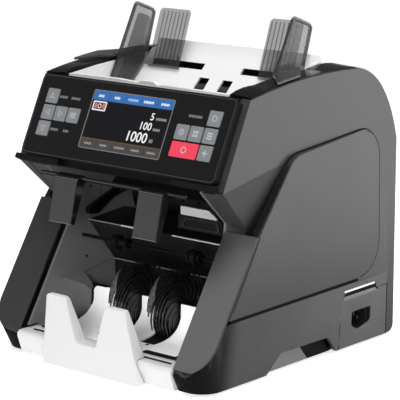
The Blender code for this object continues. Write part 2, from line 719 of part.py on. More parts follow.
def stacker_wheel(name, side):
    """Wheel of thin curved rubber vanes round a hub."""
    hub, tip = 12.0, WHEEL_R
    outline = []
    for i in range(VANES):
        start = 2 * math.pi * i / VANES
        for r, lag in ((hub, 0.0), (22.0, 0.22), (31.0, 0.55), (tip, 0.95)):
            outline.append((r * math.cos(start + lag), r * math.sin(start + lag)))
        for r, lag in ((tip, 1.0), (31.0, 0.63), (22.0, 0.33), (hub, 0.2)):
            outline.append((r * math.cos(start + lag), r * math.sin(start + lag)))
    bore = [(4.05 * math.cos(a), 4.05 * math.sin(a))
            for a in (2 * math.pi * i / 20 for i in range(20))]
    mesh = extrude_outlines(f"{name}_stacker_wheel", [outline, bore], WHEEL_W)
    place = Matrix.Translation((side * WHEEL_X * MM, WHEEL_AXIS[0] * MM, WHEEL_AXIS[1] * MM))
    return add_mesh(f"{name}_stacker_wheel", mesh, RUBBER, place @ SIDE_VIEW)


def note_stopper():
    """White two-pronged rest for counted notes, hooked over the front of the base."""
    outline = [(70.0, 1.0, 3), (51.0, 76.3, 4), (24.5, 76.3, 6), (10.5, 31.0, 4),
               (-16.5, 31.0, 4), (-30.5, 76.3, 6), (-57.0, 76.3, 4), (-65.0, 1.0, 3)]
    stopper = front_prism("note_stopper", rounded(outline), FRONT_Y, -145, WHITE)
    profile = [(FRONT_Y - 5, 1.2), (FRONT_Y - 5, 90), (-157.6, 90), (-157.6, 76.5),
               (-148.0, 27.5), (-157.2, 27.5), (-160.0, 25.3), (-160.4, 21.4), (-153.8, 1.2)]
    boolean(stopper, side_prism("stopper_profile", profile, -90, 90, None), "INTERSECT")
    return stopper


# ---- rear, power inlet and inner units --------------------------------------------------
def rear_cover():
    """Curved lid at the back that swings down about its lower edge."""
    path = [(TOP_END + 4, top_z(TOP_END) - 1.2)] + offset_path(REAR_EDGE, -0.6)[1:]
    path += [(REAR_Y - 0.6, 150.0), (REAR_Y - 0.6, BELT_Z + 7.7)]
    cover = side_prism("rear_cover", strip(path, -2.6), -127.4, 127.4, GREY)
    knuckle = cylinder_x("rear_knuckle", -100, 100, REAR_HINGE, 3.6, None, 20)
    link = box("rear_link", (-100, REAR_HINGE[0], REAR_HINGE[1] - 3), (100, REAR_Y - 1.5,
                                                                      REAR_HINGE[1] + 3), None)
    join(cover, knuckle, link)
    for name, side in SIDES:
        x0, x1 = between(side, 99.9, 104.7)
        cut(cover, box(f"{name}_ear_notch", (x0, 150, 70), (x1, 170, 91), None))
    cut(cover, cylinder_x("rear_bore", -140, 140, REAR_HINGE, 1.6, None, 16, tools))
    hang_on("rear_cover_axis", (0, *REAR_HINGE), cover)


def rear_hinge_pin():
    return cylinder_x("rear_hinge_pin", -103, 103, REAR_HINGE, 1.5, STEEL, 16)


def rear_panel():
    """Fixed lower back with the lid's two hinge ears."""
    path = [(REAR_Y - 0.6, BELT_Z + 3.2), (REAR_Y - 0.6, 14.0), (REAR_Y - 3.5, 7.0),
            (REAR_Y - 10.0, BODY_Z + 0.2)]
    panel = side_prism("rear_panel", strip(path, -2.6), -127.4, 127.4, GREY)
    ear = rounded([(REAR_Y - 1.4, 62.0), (REAR_Y - 1.4, 74.0), (161.4, 76.5), (161.4, 86.5, 2),
                   (154.5, 86.5, 3), (154.5, 62.0)])
    for name, side in SIDES:
        x0, x1 = between(side, 100.6, 104.0)
        join(panel, side_prism(f"{name}_ear", ear, x0, x1, None))
    cut(panel, cylinder_x("ear_bore", -120, 120, REAR_HINGE, 1.55, None, 16, tools))
    return panel


def inlet_cover():
    """Snap-in cover over the power inlet, with a D-shaped opening."""
    outer = [(66.3, BODY_Z), (149.7, BODY_Z), (149.7, 58.1), (127.0, 58.1), (125.5, 62.0),
             (73.5, 62.0), (73.5, 58.1), (66.3, 58.1)]
    opening = rounded([(87, 39.5, 1.5), (87, 24.5, 6), (98, 18.6, 8), (121, 24.0, 5),
                       (121, 39.5, 1.5)])
    cover = side_prism("inlet_cover", [outer, opening], SKIRT_X - 2.6, SKIRT_X, GREY)

    def lean(x, y, z):
        rise = (z - BODY_Z) / (BELT_Z - BODY_Z)
        return x + (belt_x(y) - SKIRT_X) * rise * 0.9, y, z

    return move_vertices(cover, lean)


def inlet_socket():
    """Recessed mains inlet with three blades."""
    body = box("inlet_socket", (112, 84, 13), (137.2, 124, 43), BLACK)
    cut(body, side_prism("inlet_well", rounded([(90, 38, 2), (90, 24, 4), (98, 19, 4),
                                                (110, 19, 4), (118, 24, 4), (118, 38, 2)]),
                         120, 145, None))
    for i, (y, z) in enumerate(((97.5, 27.0), (110.5, 27.0), (104.0, 33.0))):
        join(body, box(f"blade_{i}", (119, y - 1, z - 2), (132, y + 1, z + 2), None))
    return body


def inner_units():
    """Motor, power supply and main board on the base pan."""
    motor = cylinder_x("drive_motor", -98, -52, (70.0, 40.0), 26, STEEL, 32)
    join(motor, cylinder_x("motor_shaft", -103.3, -97, (70.0, 40.0), 4, None, 20))
    box("power_supply", (30, 20, 6.2), (100, 140, 50), STEEL)
    box("main_board", (-45, 20, 8.0), (25, 145, 9.8), BOARD)


def build():
    base_pan()
    feet()
    front_base()
    for name, side in SIDES:
        skirt(name, side)
        band(name, side)
        side_cover(name, side)
        side_panel(name, side)
        inner_wall(name, side)
        guide = hopper_guide(name, side)
        hang_on(f"{name}_guide_slide", (side * GUIDE_X, 49.0, 287.8), guide)
        top_band(name, side)
        wheel = stacker_wheel(name, side)
        hang_on(f"{name}_wheel_axis", (side * WHEEL_X, *WHEEL_AXIS), wheel)
    head_frame()
    display_bezel()
    screen()
    keys()
    display_board()
    hopper_tray()
    roller_shaft("pickup_rollers", PICKUP_AXIS, 3.5, 60, [(-22, -10), (10, 22)], 9.5, RUBBER)
    roller_shaft("feed_rollers", FEED_AXIS, 5.0, 107, [(-40, -22), (22, 40)], 14, RUBBER)
    roller_shaft("transport_drum", DRUM_AXIS, 6.0, 107, [(-96, 96)], DRUM_R, RUBBER)
    roller_shaft("reject_rollers", REJECT_AXIS, 1.6, 107, [(-58, -52), (52, 58)], 7.5, RUBBER)
    shelf()
    chute()
    head_floor()
    note_catches()
    sensor_unit()
    stacker_plate()
    shaft = cylinder_x("stacker_shaft", -107, 107, WHEEL_AXIS, 4.0, STEEL, 20)
    hang_on("stacker_axis", (0, *WHEEL_AXIS), shaft)
    note_stopper()
    rear_cover()
    rear_hinge_pin()
    rear_panel()
    inlet_cover()
    inlet_socket()
    inner_units()


build()
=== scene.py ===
"""Visual model of the banknote counting machine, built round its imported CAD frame.

Lengths are in millimetres and turned into metres by MM.
X is the width (0 is the middle), -Y is the front, +Z is up, and Z = 0 is the table.
"""

import json
import math

import bmesh
import bpy
from mathutils import Matrix, Vector
from mathutils.bvhtree import BVHTree

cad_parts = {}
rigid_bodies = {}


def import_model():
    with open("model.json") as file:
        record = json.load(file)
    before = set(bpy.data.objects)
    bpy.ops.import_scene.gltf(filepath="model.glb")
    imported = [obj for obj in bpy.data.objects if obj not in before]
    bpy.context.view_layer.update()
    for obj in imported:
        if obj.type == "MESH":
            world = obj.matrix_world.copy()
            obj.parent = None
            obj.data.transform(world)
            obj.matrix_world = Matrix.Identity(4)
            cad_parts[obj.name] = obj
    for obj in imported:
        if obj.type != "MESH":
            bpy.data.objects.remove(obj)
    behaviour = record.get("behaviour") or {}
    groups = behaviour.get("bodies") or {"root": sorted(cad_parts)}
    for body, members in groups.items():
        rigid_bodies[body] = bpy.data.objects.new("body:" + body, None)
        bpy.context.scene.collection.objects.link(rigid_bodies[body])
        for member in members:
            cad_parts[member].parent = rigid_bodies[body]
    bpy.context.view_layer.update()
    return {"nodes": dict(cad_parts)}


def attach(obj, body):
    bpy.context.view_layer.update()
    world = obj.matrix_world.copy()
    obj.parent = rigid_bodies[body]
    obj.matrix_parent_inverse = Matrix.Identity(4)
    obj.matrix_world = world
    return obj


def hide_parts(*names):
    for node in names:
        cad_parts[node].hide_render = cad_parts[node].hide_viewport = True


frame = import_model()

MM = 0.001
SHARP = math.radians(32)     # edges sharper than this show as edges
SIDES = (("left", -1), ("right", 1))

# ---- sizes shared with the CAD model --------------------------------------------------
HEAD_TOP = Vector((-78.4, 285.5))
HEAD_FOOT = Vector((-120.0, 198.5))
BEZEL_H = 8.0
BEZEL_X = 132.5
BEZEL_U = (5.8, 93.5)
KEY_TOP = 8.9
KEY_COLUMNS = (74.3, 92.4, 110.6)
KEY_ROWS = (34.6, 52.2, 70.0)
SCREEN_H = 7.9
SCREEN_X = 55.0
SCREEN_U = (21.0, 83.0)
SIDE_X = 140.0               # outer face of the side covers
BELT_Z = 71.5                # top of the skirts
SKIRT_X = 141.0              # half-width at the foot of the skirts
SKIRT_Z = 2.5                # foot of the skirts
FLARE = 8.5 / 259.0          # widening of the belt line per mm forwards
WALL_X = 103.8
WHEEL_AXIS = (-58.0, 56.0)
WHEEL_R = 38.0
WHEEL_X = 27.0
CATCH_AXIS = (-126.0, 190.5)
CATCH_X = (42.0, 74.0)
REJECT_AXIS = (-62.0, 112.0)
SHELF_EDGE = (-55.9, 128.1)  # front edge of the reject shelf (y, z)
GUIDE_FACE = 0.1087          # where the denser foot of a guide begins, in metres
REAR_Y = 165.0

# ---- studio ---------------------------------------------------------------------------
WORLD_LEVEL = 0.13           # what the world lights the object with
BACKDROP_LEVEL = 1.05        # what the world shows behind it
FLOOR_REACH = 1.6
FLOOR_Z = -0.0004
FLOOR_GLOW = 0.72
CAMERA_AT = (1.321268, -1.516281, 0.583316)
CAMERA_TURN = (40.92148, 12.04882, -0.0454)  # azimuth, height and roll in degrees
CAMERA_LENS = 176.16


# ---- materials ------------------------------------------------------------------------
class Shader:
    """Short way to add and join nodes of one material, new by name or already made."""

    def __init__(self, mat):
        self.mat = bpy.data.materials.new(mat) if isinstance(mat, str) else mat
        self.mat.use_nodes = True
        self.tree = self.mat.node_tree
        self.out = self.tree.nodes["Principled BSDF"]

    def node(self, kind, links=(), **values):
        made = self.tree.nodes.new("ShaderNode" + kind)
        for key, value in values.items():
            setattr(made, key, value)
        for socket, source in links:
            if hasattr(source, "links"):
                self.tree.links.new(source, made.inputs[socket])
            else:
                made.inputs[socket].default_value = source
        return made

    def link(self, source, socket):
        self.tree.links.new(source, self.out.inputs[socket])

    def set(self, socket, value):
        self.out.inputs[socket].default_value = value

    def place(self):
        return self.node("TexCoord").outputs["Object"]

    def axis(self, letter):
        return self.node("SeparateXYZ", [(0, self.place())]).outputs[letter]

    def times(self, a, b):
        return self.node("Math", [(0, a), (1, b)], operation="MULTIPLY").outputs[0]

    def mix(self, share, a, b):
        """Colour that goes from a to b with the share."""
        return self.node("Mix", [(0, share), (6, a), (7, b)], data_type="RGBA").outputs[2]

    def ramp(self, value, start, end, low, high, **values):
        """A value taken from the range start to end into the range low to high."""
        return self.node("MapRange", [("Value", value), ("From Min", start), ("From Max", end),
                                      ("To Min", low), ("To Max", high)], **values).outputs[0]


def edge_mask(s, radius):
    """1 along sharp edges and 0 on flats."""
    soft = s.node("Bevel", [("Radius", radius)], samples=4)
    geometry = s.node("NewGeometry")
    dot = s.node("VectorMath", [(0, soft.outputs[0]), (1, geometry.outputs["Normal"])],
                 operation="DOT_PRODUCT")
    return s.ramp(dot.outputs["Value"], 0.995, 0.90, 0.0, 1.0)


def surface(name, colour, rough, metallic=0.0, grain=900.0, grain_depth=0.03,
            cloud=0.06, rough_cloud=0.06, wear_and_edge_sheen=0.0, brushed=None, coat=0.0, specular=0.5):
    """Moulded or finished surface: cloudy tone, fine grain, uneven gloss, and sharp edges
    lightened in specks, partly as wear and partly as a painted highlight.
    """
    s = Shader(name)
    place = s.place()
    cloudy = s.node("TexNoise", [("Vector", place), ("Scale", 16.0), ("Detail", 1.5),
                                 ("Roughness", 0.4)]).outputs["Fac"]
    stretch = s.node("Mapping", [("Vector", place), ("Scale", brushed or (1, 1, 1))])
    fine = s.node("TexNoise", [("Vector", stretch.outputs[0]), ("Scale", grain),
                               ("Detail", 2.0)]).outputs["Fac"]
    low = [c * (1 - cloud) for c in colour] + [1.0]
    high = [min(1.0, c * (1 + cloud)) for c in colour] + [1.0]
    base = s.mix(cloudy, low, high)
    # lighter sharp edges: partly wear, partly a painted highlight
    if wear_and_edge_sheen:
        worn_and_sheen_colour = [min(1.0, c * 1.5 + 0.03) for c in colour] + [1.0]
        broken = s.times(edge_mask(s, 0.0012), fine)
        base = s.mix(s.times(broken, wear_and_edge_sheen), base, worn_and_sheen_colour)
    s.link(base, "Base Color")
    s.link(s.ramp(cloudy, 0.0, 1.0, rough - rough_cloud, rough + rough_cloud), "Roughness")
    bump = s.node("Bump", [("Height", fine), ("Strength", 0.5),
                           ("Distance", grain_depth * MM)])
    s.link(bump.outputs[0], "Normal")
    s.set("Metallic", metallic)
    s.set("Specular IOR Level", specular)
    s.set("Coat Weight", coat)
    s.set("Coat Roughness", 0.06)
    return s.mat


def smoke(name, thin, thick):
    """Tinted clear plastic that is denser in the foot outside the side plate."""
    s = Shader(surface(name, (0.050, 0.050, 0.054), 0.16, grain=120, grain_depth=0.01,
                       rough_cloud=0.05))
    half = s.node("Math", [(0, s.axis("X"))], operation="ABSOLUTE").outputs[0]
    s.link(s.ramp(half, GUIDE_FACE, GUIDE_FACE + 0.0005, thin, thick), "Alpha")
    return s.mat


def corner_shade(name, colour, rough, dark):
    """Satin plastic whose colour deepens to gloss black round the front corner of the body:
    painted shade for the dark reflection that the rounded corner shows.
    """
    s = Shader(surface(name, colour, rough))
    front = s.ramp(s.axis("Y"), -0.100, -0.130, 0.0, 1.0, interpolation_type="SMOOTHSTEP")
    base = s.out.inputs["Base Color"].links[0].from_socket
    s.link(s.mix(front, base, [*dark, 1.0]), "Base Color")
    return s.mat


def lit(name, colour, strength):
    """Glowing part of the display, faintly uneven."""
    s = Shader(name)
    speck = s.node("TexNoise", [("Vector", s.place()), ("Scale", 2500.0), ("Detail", 0.0)])
    dim = [c * 0.86 for c in colour] + [1.0]
    s.set("Base Color", (0.01, 0.01, 0.01, 1.0))
    s.link(s.mix(speck.outputs["Fac"], dim, [*colour, 1.0]), "Emission Color")
    s.set("Emission Strength", strength)
    s.set("Roughness", 0.3)
    return s.mat


GREY = surface("satin_grey", (0.040, 0.040, 0.041), 0.30, wear_and_edge_sheen=0.6)
# skirt grey, with painted shade in black round the front corner
SKIRT = corner_shade("skirt_grey", (0.044, 0.044, 0.045), 0.27, (0.003, 0.003, 0.003))
CATCH = surface("catch_grey", (0.017, 0.017, 0.018), 0.22, wear_and_edge_sheen=0.6, specular=0.3)
WALL = surface("mouth_grey", (0.090, 0.090, 0.092), 0.34)
DARK = surface("moulded_black", (0.020, 0.020, 0.021), 0.45, grain=1400, grain_depth=0.05)
BLACK = surface("piano_black", (0.006, 0.006, 0.007), 0.14, coat=0.5, grain=300,
                grain_depth=0.004, rough_cloud=0.05)
WHITE = surface("warm_white", (0.78, 0.78, 0.78), 0.38, cloud=0.015, wear_and_edge_sheen=0.12)
SMOKE = smoke("smoke_clear", 0.44, 0.86)
SMOKE_RIM = smoke("smoke_rim", 0.66, 0.86)
KEYCAP = surface("key_grey", (0.215, 0.225, 0.235), 0.5, grain=1800, grain_depth=0.04)
REDCAP = surface("key_red", (0.86, 0.052, 0.10), 0.5, grain=1800, grain_depth=0.04)
CROWN = surface("crown_black", (0.005, 0.005, 0.005), 0.16, specular=0.14, grain=300,
                grain_depth=0.004)
GLASS = surface("screen_black", (0.008, 0.008, 0.010), 0.10, grain=200, grain_depth=0.002,
                rough_cloud=0.03)
RUBBER = surface("black_rubber", (0.012, 0.012, 0.012), 0.52, grain=1100, grain_depth=0.08)
VANE = surface("vane_rubber", (0.008, 0.008, 0.008), 0.2, grain=700, grain_depth=0.03)
STEEL = surface("brushed_steel", (0.55, 0.55, 0.56), 0.32, metallic=1.0,
                brushed=(0.05, 1, 1), grain=1600)
BOARD = surface("board_green", (0.012, 0.10, 0.045), 0.45, grain=260, grain_depth=0.05)
GAPLINE = surface("seam_shadow", (0.006, 0.006, 0.006), 0.7, specular=0.1)
MATTE = surface("matte_black", (0.007, 0.007, 0.007), 0.5, specular=0.15)
INK = surface("printed_grey", (0.20, 0.205, 0.21), 0.5)
KEYINK = surface("key_ink", (0.50, 0.52, 0.54), 0.5)
SILVER = surface("display_rim", (0.30, 0.30, 0.31), 0.3, metallic=0.4)
# grey of the line round the bezel: a painted highlight
BEZEL_HIGHLIGHT = surface("bezel_highlight_grey", (0.075, 0.075, 0.077), 0.25)
# light grey for painted highlights and lit faces
HIGHLIGHT_GREY = surface("lit_grey", (0.15, 0.15, 0.152), 0.3)
# cover grey made a little lighter: painted light on the facets
FACET_LIT = surface("facet_lit_grey", (0.048, 0.048, 0.049), 0.34)
TEXT_LIT = lit("display_white", (0.93, 0.94, 0.95), 1.0)
BLUE_LIT = lit("display_blue", (0.030, 0.155, 0.465), 1.0)
PALE_LIT = lit("display_pale", (0.45, 0.62, 0.85), 1.0)
MUTED_LIT = lit("display_muted", (0.060, 0.055, 0.052), 1.0)
AMBER_LIT = lit("display_amber", (0.14, 0.075, 0.035), 1.0)
SOFT_LIT = lit("display_soft", (0.33, 0.32, 0.31), 1.0)
ROSE_LIT = lit("display_rose", (0.72, 0.17, 0.18), 1.0)


# ---- outline helpers ------------------------------------------------------------------
def fillet(corner, before, after, radius, steps):
    """Points of the arc that rounds one corner of an outline."""
    c, p, q = Vector(corner), Vector(before), Vector(after)
    to_p = (p - c).normalized()
    to_q = (q - c).normalized()
    half = to_p.angle(to_q) / 2
    reach = radius / math.tan(half)
    centre = c + (to_p + to_q).normalized() * (radius / math.sin(half))
    start = c + to_p * reach - centre
    end = c + to_q * reach - centre
    around = [start.slerp(end, i / steps).normalized() for i in range(steps + 1)]
    return [tuple(centre + way * radius) for way in around]


def rounded(corners, steps=6):
    """Outline from (x, y) or (x, y, radius) corners, with the given radii as arcs."""
    points = []
    for i, corner in enumerate(corners):
        if len(corner) == 2:
            points.append(corner)
            continue
        before = corners[i - 1][:2]
        after = corners[(i + 1) % len(corners)][:2]
        points += fillet(corner[:2], before, after, corner[2], steps)
    return points


def panel(x0, x1, y0, y1, radius, steps=5):
    """Rectangle with rounded corners."""
    return rounded([(x0, y0, radius), (x1, y0, radius), (x1, y1, radius), (x0, y1, radius)],
                   steps)


def rect(y0, y1, z0, z1):
    """Rectangle with square corners."""
    return [(y0, z0), (y1, z0), (y1, z1), (y0, z1)]


def offset_path(path, distance):
    """The open path moved sideways by a distance, to its left for a positive one."""
    moved = []
    for i, point in enumerate(path):
        here = Vector(point)
        back = (here - Vector(path[i - 1])).normalized() if i > 0 else None
        ahead = (Vector(path[i + 1]) - here).normalized() if i < len(path) - 1 else None
        back = back or ahead
        ahead = ahead or back
        normal = Vector((-back.y - ahead.y, back.x + ahead.x)).normalized()
        side = Vector((-back.y, back.x))
        moved.append(tuple(here + normal * (distance / normal.dot(side))))
    return moved


def strip(path, thickness):
    """Closed outline of a sheet that follows an open path."""
    return list(path) + offset_path(path, thickness)[::-1]


def between(side, near, far):
    """The x range of a piece that lies from near to far on one side."""
    return (near, far) if side > 0 else (-far, -near)


# ---- piece helpers --------------------------------------------------------------------
def added(name, data):
    """New object in the scene."""
    obj = bpy.data.objects.new(name, data)
    bpy.context.scene.collection.objects.link(obj)
    return obj


def curve_mesh(name, curve):
    """Mesh of a curve or text, which is used up."""
    shape = added(name, curve)
    graph = bpy.context.evaluated_depsgraph_get()
    mesh = bpy.data.meshes.new_from_object(shape.evaluated_get(graph))
    bpy.data.objects.remove(shape)
    bpy.data.curves.remove(curve)
    mesh.name = name
    return mesh


def extrude_outlines(name, outlines, depth):
    """Mesh of flat outlines in XY, filled and extruded along Z, centred on Z = 0."""
    curve = bpy.data.curves.new(name, "CURVE")
    curve.dimensions = "2D"
    curve.fill_mode = "BOTH"
    curve.extrude = depth * MM / 2
    for outline in outlines:
        spline = curve.splines.new("POLY")
        spline.points.add(len(outline) - 1)
        for point, (u, v) in zip(spline.points, outline):
            point.co = (u * MM, v * MM, 0.0, 1.0)
        spline.use_cyclic_u = True
    mesh = curve_mesh(name, curve)
    welded = bmesh.new()
    welded.from_mesh(mesh)
    bmesh.ops.remove_doubles(welded, verts=welded.verts, dist=0.000005)
    bmesh.ops.dissolve_limit(welded, angle_limit=0.001, verts=welded.verts,
                             edges=welded.edges)
    bmesh.ops.recalc_face_normals(welded, faces=welded.faces)
    welded.to_mesh(mesh)
    welded.free()
    return mesh


SIDE_VIEW = Matrix(((0, 0, 1, 0), (1, 0, 0, 0), (0, 1, 0, 0), (0, 0, 0, 1)))
FRONT_VIEW = Matrix(((1, 0, 0, 0), (0, 0, -1, 0), (0, 1, 0, 0), (0, 0, 0, 1)))


def face_frame(foot, top):
    """Frame on a sloping face that spans X: X across, Y up the face, Z out of it."""
    up = (Vector(top) - Vector(foot)).normalized()
    out = Vector((-up.y, up.x))
    start = Vector(foot) * MM
    return Matrix(((1, 0, 0, 0), (0, up.x, out.x, start.x), (0, up.y, out.y, start.y),
                   (0, 0, 0, 1)))


HEAD = face_frame(HEAD_FOOT, HEAD_TOP)


def to_mesh(shape, name):
    """Mesh of a finished bmesh, with its faces turned outwards."""
    bmesh.ops.recalc_face_normals(shape, faces=shape.faces)
    mesh = bpy.data.meshes.new(name)
    shape.to_mesh(mesh)
    shape.free()
    return mesh


def soften(obj, width, segments=2):
    """Rounded edges with smooth shading that keeps the flats flat."""
    if width:
        bevel = obj.modifiers.new("edge", "BEVEL")
        bevel.width = width * MM
        bevel.segments = segments
        bevel.limit_method = "ANGLE"
        bevel.angle_limit = SHARP
        bevel.use_clamp_overlap = True
    obj.data.shade_smooth()
    normals = obj.modifiers.new("normals", "WEIGHTED_NORMAL")
    normals.keep_sharp = True
    normals.weight = 60


def piece(name, mesh, place, mat, body="machine", edge=0.0, segments=2):
    """New visible piece on a body."""
    obj = added(name, mesh)
    obj.matrix_world = place
    mesh.materials.clear()
    mesh.materials.append(mat)
    soften(obj, edge, segments)
    if not edge:
        mesh.set_sharp_from_angle(angle=SHARP)
    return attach(obj, body)


def plate(name, outlines, view, h0, h1, mat, body="machine", edge=0.0):
    """Flat outlines in a view's plane, from depth h0 to h1 along its normal."""
    outlines = outlines if isinstance(outlines[0], list) else [outlines]
    mesh = extrude_outlines(name, outlines, h1 - h0)
    place = view @ Matrix.Translation((0, 0, MM * (h0 + h1) / 2))
    return piece(name, mesh, place, mat, body, edge)


def side_plate(name, outlines, x0, x1, mat, body="machine", edge=0.0):
    """Solid whose (y, z) outline runs from x0 to x1."""
    return plate(name, outlines, SIDE_VIEW, x0, x1, mat, body, edge)


def front_plate(name, outlines, y0, y1, mat, edge=0.0):
    """Solid whose (x, z) outline runs from y0 to y1."""
    return plate(name, outlines, FRONT_VIEW, -y1, -y0, mat, "machine", edge)


def ribbon(name, points, place, mat, body, thickness):
    """Thin sheet through pairs of points, one pair after another."""
    mesh = bpy.data.meshes.new(name)
    mesh.from_pydata(points, [], [(2 * i, 2 * i + 1, 2 * i + 3, 2 * i + 2)
                                  for i in range(len(points) // 2 - 1)])
    thick = piece(name, mesh, place, mat, body).modifiers.new("thick", "SOLIDIFY")
    thick.thickness = thickness * MM
    thick.offset = 0


def turned(name, profile, x, axis, mat, body="machine", segments=40):
    """Turned piece: (x, radius) profile spun about an axis along X at (y, z)."""
    shape = bmesh.new()
    rows = []
    for along, radius in profile:
        if radius < 1e-6:
            rows.append([shape.verts.new((0, 0, along * MM))])
            continue
        rows.append([shape.verts.new((radius * MM * math.cos(2 * math.pi * i / segments),
                                      radius * MM * math.sin(2 * math.pi * i / segments),
                                      along * MM)) for i in range(segments)])
    for a, b in zip(rows, rows[1:]):
        for i in range(segments):
            j = (i + 1) % segments
            loop = [a[i % len(a)], a[j % len(a)], b[j % len(b)], b[i % len(b)]]
            loop = list(dict.fromkeys(loop))
            if len(loop) > 2:
                shape.faces.new(loop)
    place = Matrix.Translation((x * MM, axis[0] * MM, axis[1] * MM)) @ SIDE_VIEW
    return piece(name, to_mesh(shape, name), place, mat, body)


def dress(mat, edge, *nodes, segments=2):
    """Give CAD nodes a material and rounded edges."""
    for node in nodes:
        obj = frame["nodes"][node]
        obj.data.materials.clear()
        obj.data.materials.append(mat)
        weld = obj.modifiers.new("weld", "WELD")
        weld.merge_threshold = 0.00001
        flat = obj.modifiers.new("flat", "DECIMATE")
        flat.decimate_type = "DISSOLVE"
        flat.angle_limit = math.radians(0.3)
        soften(obj, edge, segments)


# ---- CAD nodes ------------------------------------------------------------------------
def dress_cad():
    """Finishes of the CAD model's own nodes."""
    for name, _ in SIDES:
        dress(GREY, 0.9, f"{name}_cover", f"{name}_band", segments=3)
        dress(GREY, 0.5, f"{name}_panel")
        dress(WALL, 0.3, f"{name}_inner_wall")
        dress(CROWN, 0.6, f"{name}_top_band")
        dress(SMOKE, 0.5, f"{name}_guide")
        dress(BLACK, 0.6, f"{name}_note_catch")
        dress(RUBBER, 0.3, f"foot_front_{name}", f"foot_rear_{name}")
    dress(GREY, 0.8, "rear_cover", "rear_panel", "inlet_cover")
    dress(WHITE, 2.2, "note_stopper", segments=4)
    dress(WHITE, 1.2, "front_base", segments=3)
    dress(WHITE, 0.5, "hopper_tray", "stacker_plate")
    dress(BLACK, 1.0, "display_bezel", segments=3)
    dress(GLASS, 0.15, "screen")
    dress(DARK, 0.5, "base_pan", "head_floor", "reject_shelf", "reject_chute", "image_sensor")
    dress(MATTE, 0.6, "head_frame")
    dress(DARK, 0.4, "inlet_socket")
    dress(RUBBER, 0.4, "pickup_rollers", "feed_rollers", "transport_drum")
    dress(MATTE, 0.4, "reject_rollers")
    dress(BLACK, 0.0, "catch_shaft", "stacker_shaft")
    dress(STEEL, 0.4, "rear_hinge_pin", "drive_motor", "power_supply")
    dress(BOARD, 0.2, "display_board", "main_board")
    for node in frame["nodes"]:
        if node.startswith("key_"):
            dress(REDCAP if node == "key_reset" else KEYCAP, 0.35, node, segments=3)


# ---- display and keys -----------------------------------------------------------------
def bar(x0, x1, u, height):
    """Flat mark with rounded ends, centred on the height u."""
    return panel(x0, x1, u - height / 2, u + height / 2, height * 0.3, 3)


def dashes(x0, x1, u, height):
    """Row of short marks of uneven width, in place of a printed word."""
    outlines, x, widths, i = [], x0, (1.5, 1.1, 1.7, 1.3), 0
    while x < x1 - 0.8:
        wide = min(widths[i % 4], x1 - x)
        outlines.append(panel(x, x + wide, u - height / 2, u + height / 2, 0.25, 2))
        x += wide + 0.55
        i += 1
    return outlines


def number(name, text, right, u0, height, mat):
    """Figures of a given height in the display, set to a right edge and a base line."""
    curve = bpy.data.curves.new(name, "FONT")
    curve.body = text
    curve.align_x = "RIGHT"
    curve.size = height * 1.44 * MM     # the font's size for figures of that height
    curve.offset = 0.018 * height * MM
    curve.shear = 0.04
    curve.extrude = 0.04 * MM
    curve.resolution_u = 4
    place = HEAD @ Matrix.Translation((right * MM, u0 * MM, (SCREEN_H + 0.03) * MM))
    return piece(name, curve_mesh(name, curve), place, mat)


def ring_outline(x, u, outer, inner):
    """Two circles, one in the other."""
    turns = [2 * math.pi * i / 20 for i in range(20)]
    return [[(x + r * math.cos(t), u + r * math.sin(t)) for t in turns] for r in (outer, inner)]


def display():
    """What the screen shows: a row of tabs, the count and a row of menu marks."""
    low, high = SCREEN_H - 0.02, SCREEN_H + 0.05
    rim = [panel(-SCREEN_X - 0.2, SCREEN_X + 0.2, SCREEN_U[0] - 0.2, SCREEN_U[1] + 0.2, 2.2),
           panel(-SCREEN_X + 0.7, SCREEN_X - 0.7, SCREEN_U[0] + 0.7, SCREEN_U[1] - 0.7, 1.6)]
    plate("display_rim", rim, HEAD, low - 0.3, SCREEN_H + 0.35, SILVER)
    pitch = 2 * (SCREEN_X - 1.0) / 5
    for i in range(5):
        x0 = -SCREEN_X + 1.0 + i * pitch
        mid = x0 + pitch / 2
        for row, (u0, u1), wide, (u, tall), field, ink in (
                ("tab", (72.4, 82.2), (4.2, 3.8, 6.6, 7.0, 5.4), (77.0, 2.6), BLUE_LIT,
                 PALE_LIT if i == 2 else TEXT_LIT),
                ("menu", (21.9, 30.6), (5.0, 5.2, 6.8, 5.6, 5.8), (26.4, 2.3), MUTED_LIT,
                 SOFT_LIT)):
            plate(f"display_{row}_{i}", panel(x0 + 0.15, x0 + pitch - 0.15, u0, u1, 0.5), HEAD,
                  low, high, field)
            plate(f"display_{row}_mark_{i}", dashes(mid - wide[i], mid + wide[i], u, tall), HEAD,
                  high - 0.02, high + 0.04, ink)
    plate("display_menu_line", panel(-54, 54, 30.8, 32.2, 0.3), HEAD, low, high, AMBER_LIT)
    for row, figures, right, u0, tall, unit in (
            ("low", "5", 34.0, 59.6, 7.2, (37.0, 51.5, 61.4, 2.7)),
            ("mid", "100", 34.0, 48.9, 7.8, (36.6, 45.5, 50.3, 2.7)),
            ("high", "1000", 32.5, 35.5, 10.2, (36.0, 40.5, 38.4, 3.6))):
        number(f"display_count_{row}", figures, right, u0, tall, TEXT_LIT)
        plate(f"display_unit_{row}", dashes(*unit), HEAD, low, high, SOFT_LIT)
    note = [panel(-52.0, -33.5, 61.4, 71.4, 0.8), panel(-50.6, -34.9, 62.8, 70.0, 0.5)]
    plate("display_note_frame", note, HEAD, low, high, TEXT_LIT)
    plate("display_note_ring", ring_outline(-42.75, 66.4, 2.6, 1.7), HEAD, low, high, TEXT_LIT)
    for i, x in enumerate((-49.6, -39.0)):
        plate(f"display_note_field_{i}", panel(x, x + 3.4, 63.6, 69.2, 0.4), HEAD, low, high,
              ROSE_LIT)


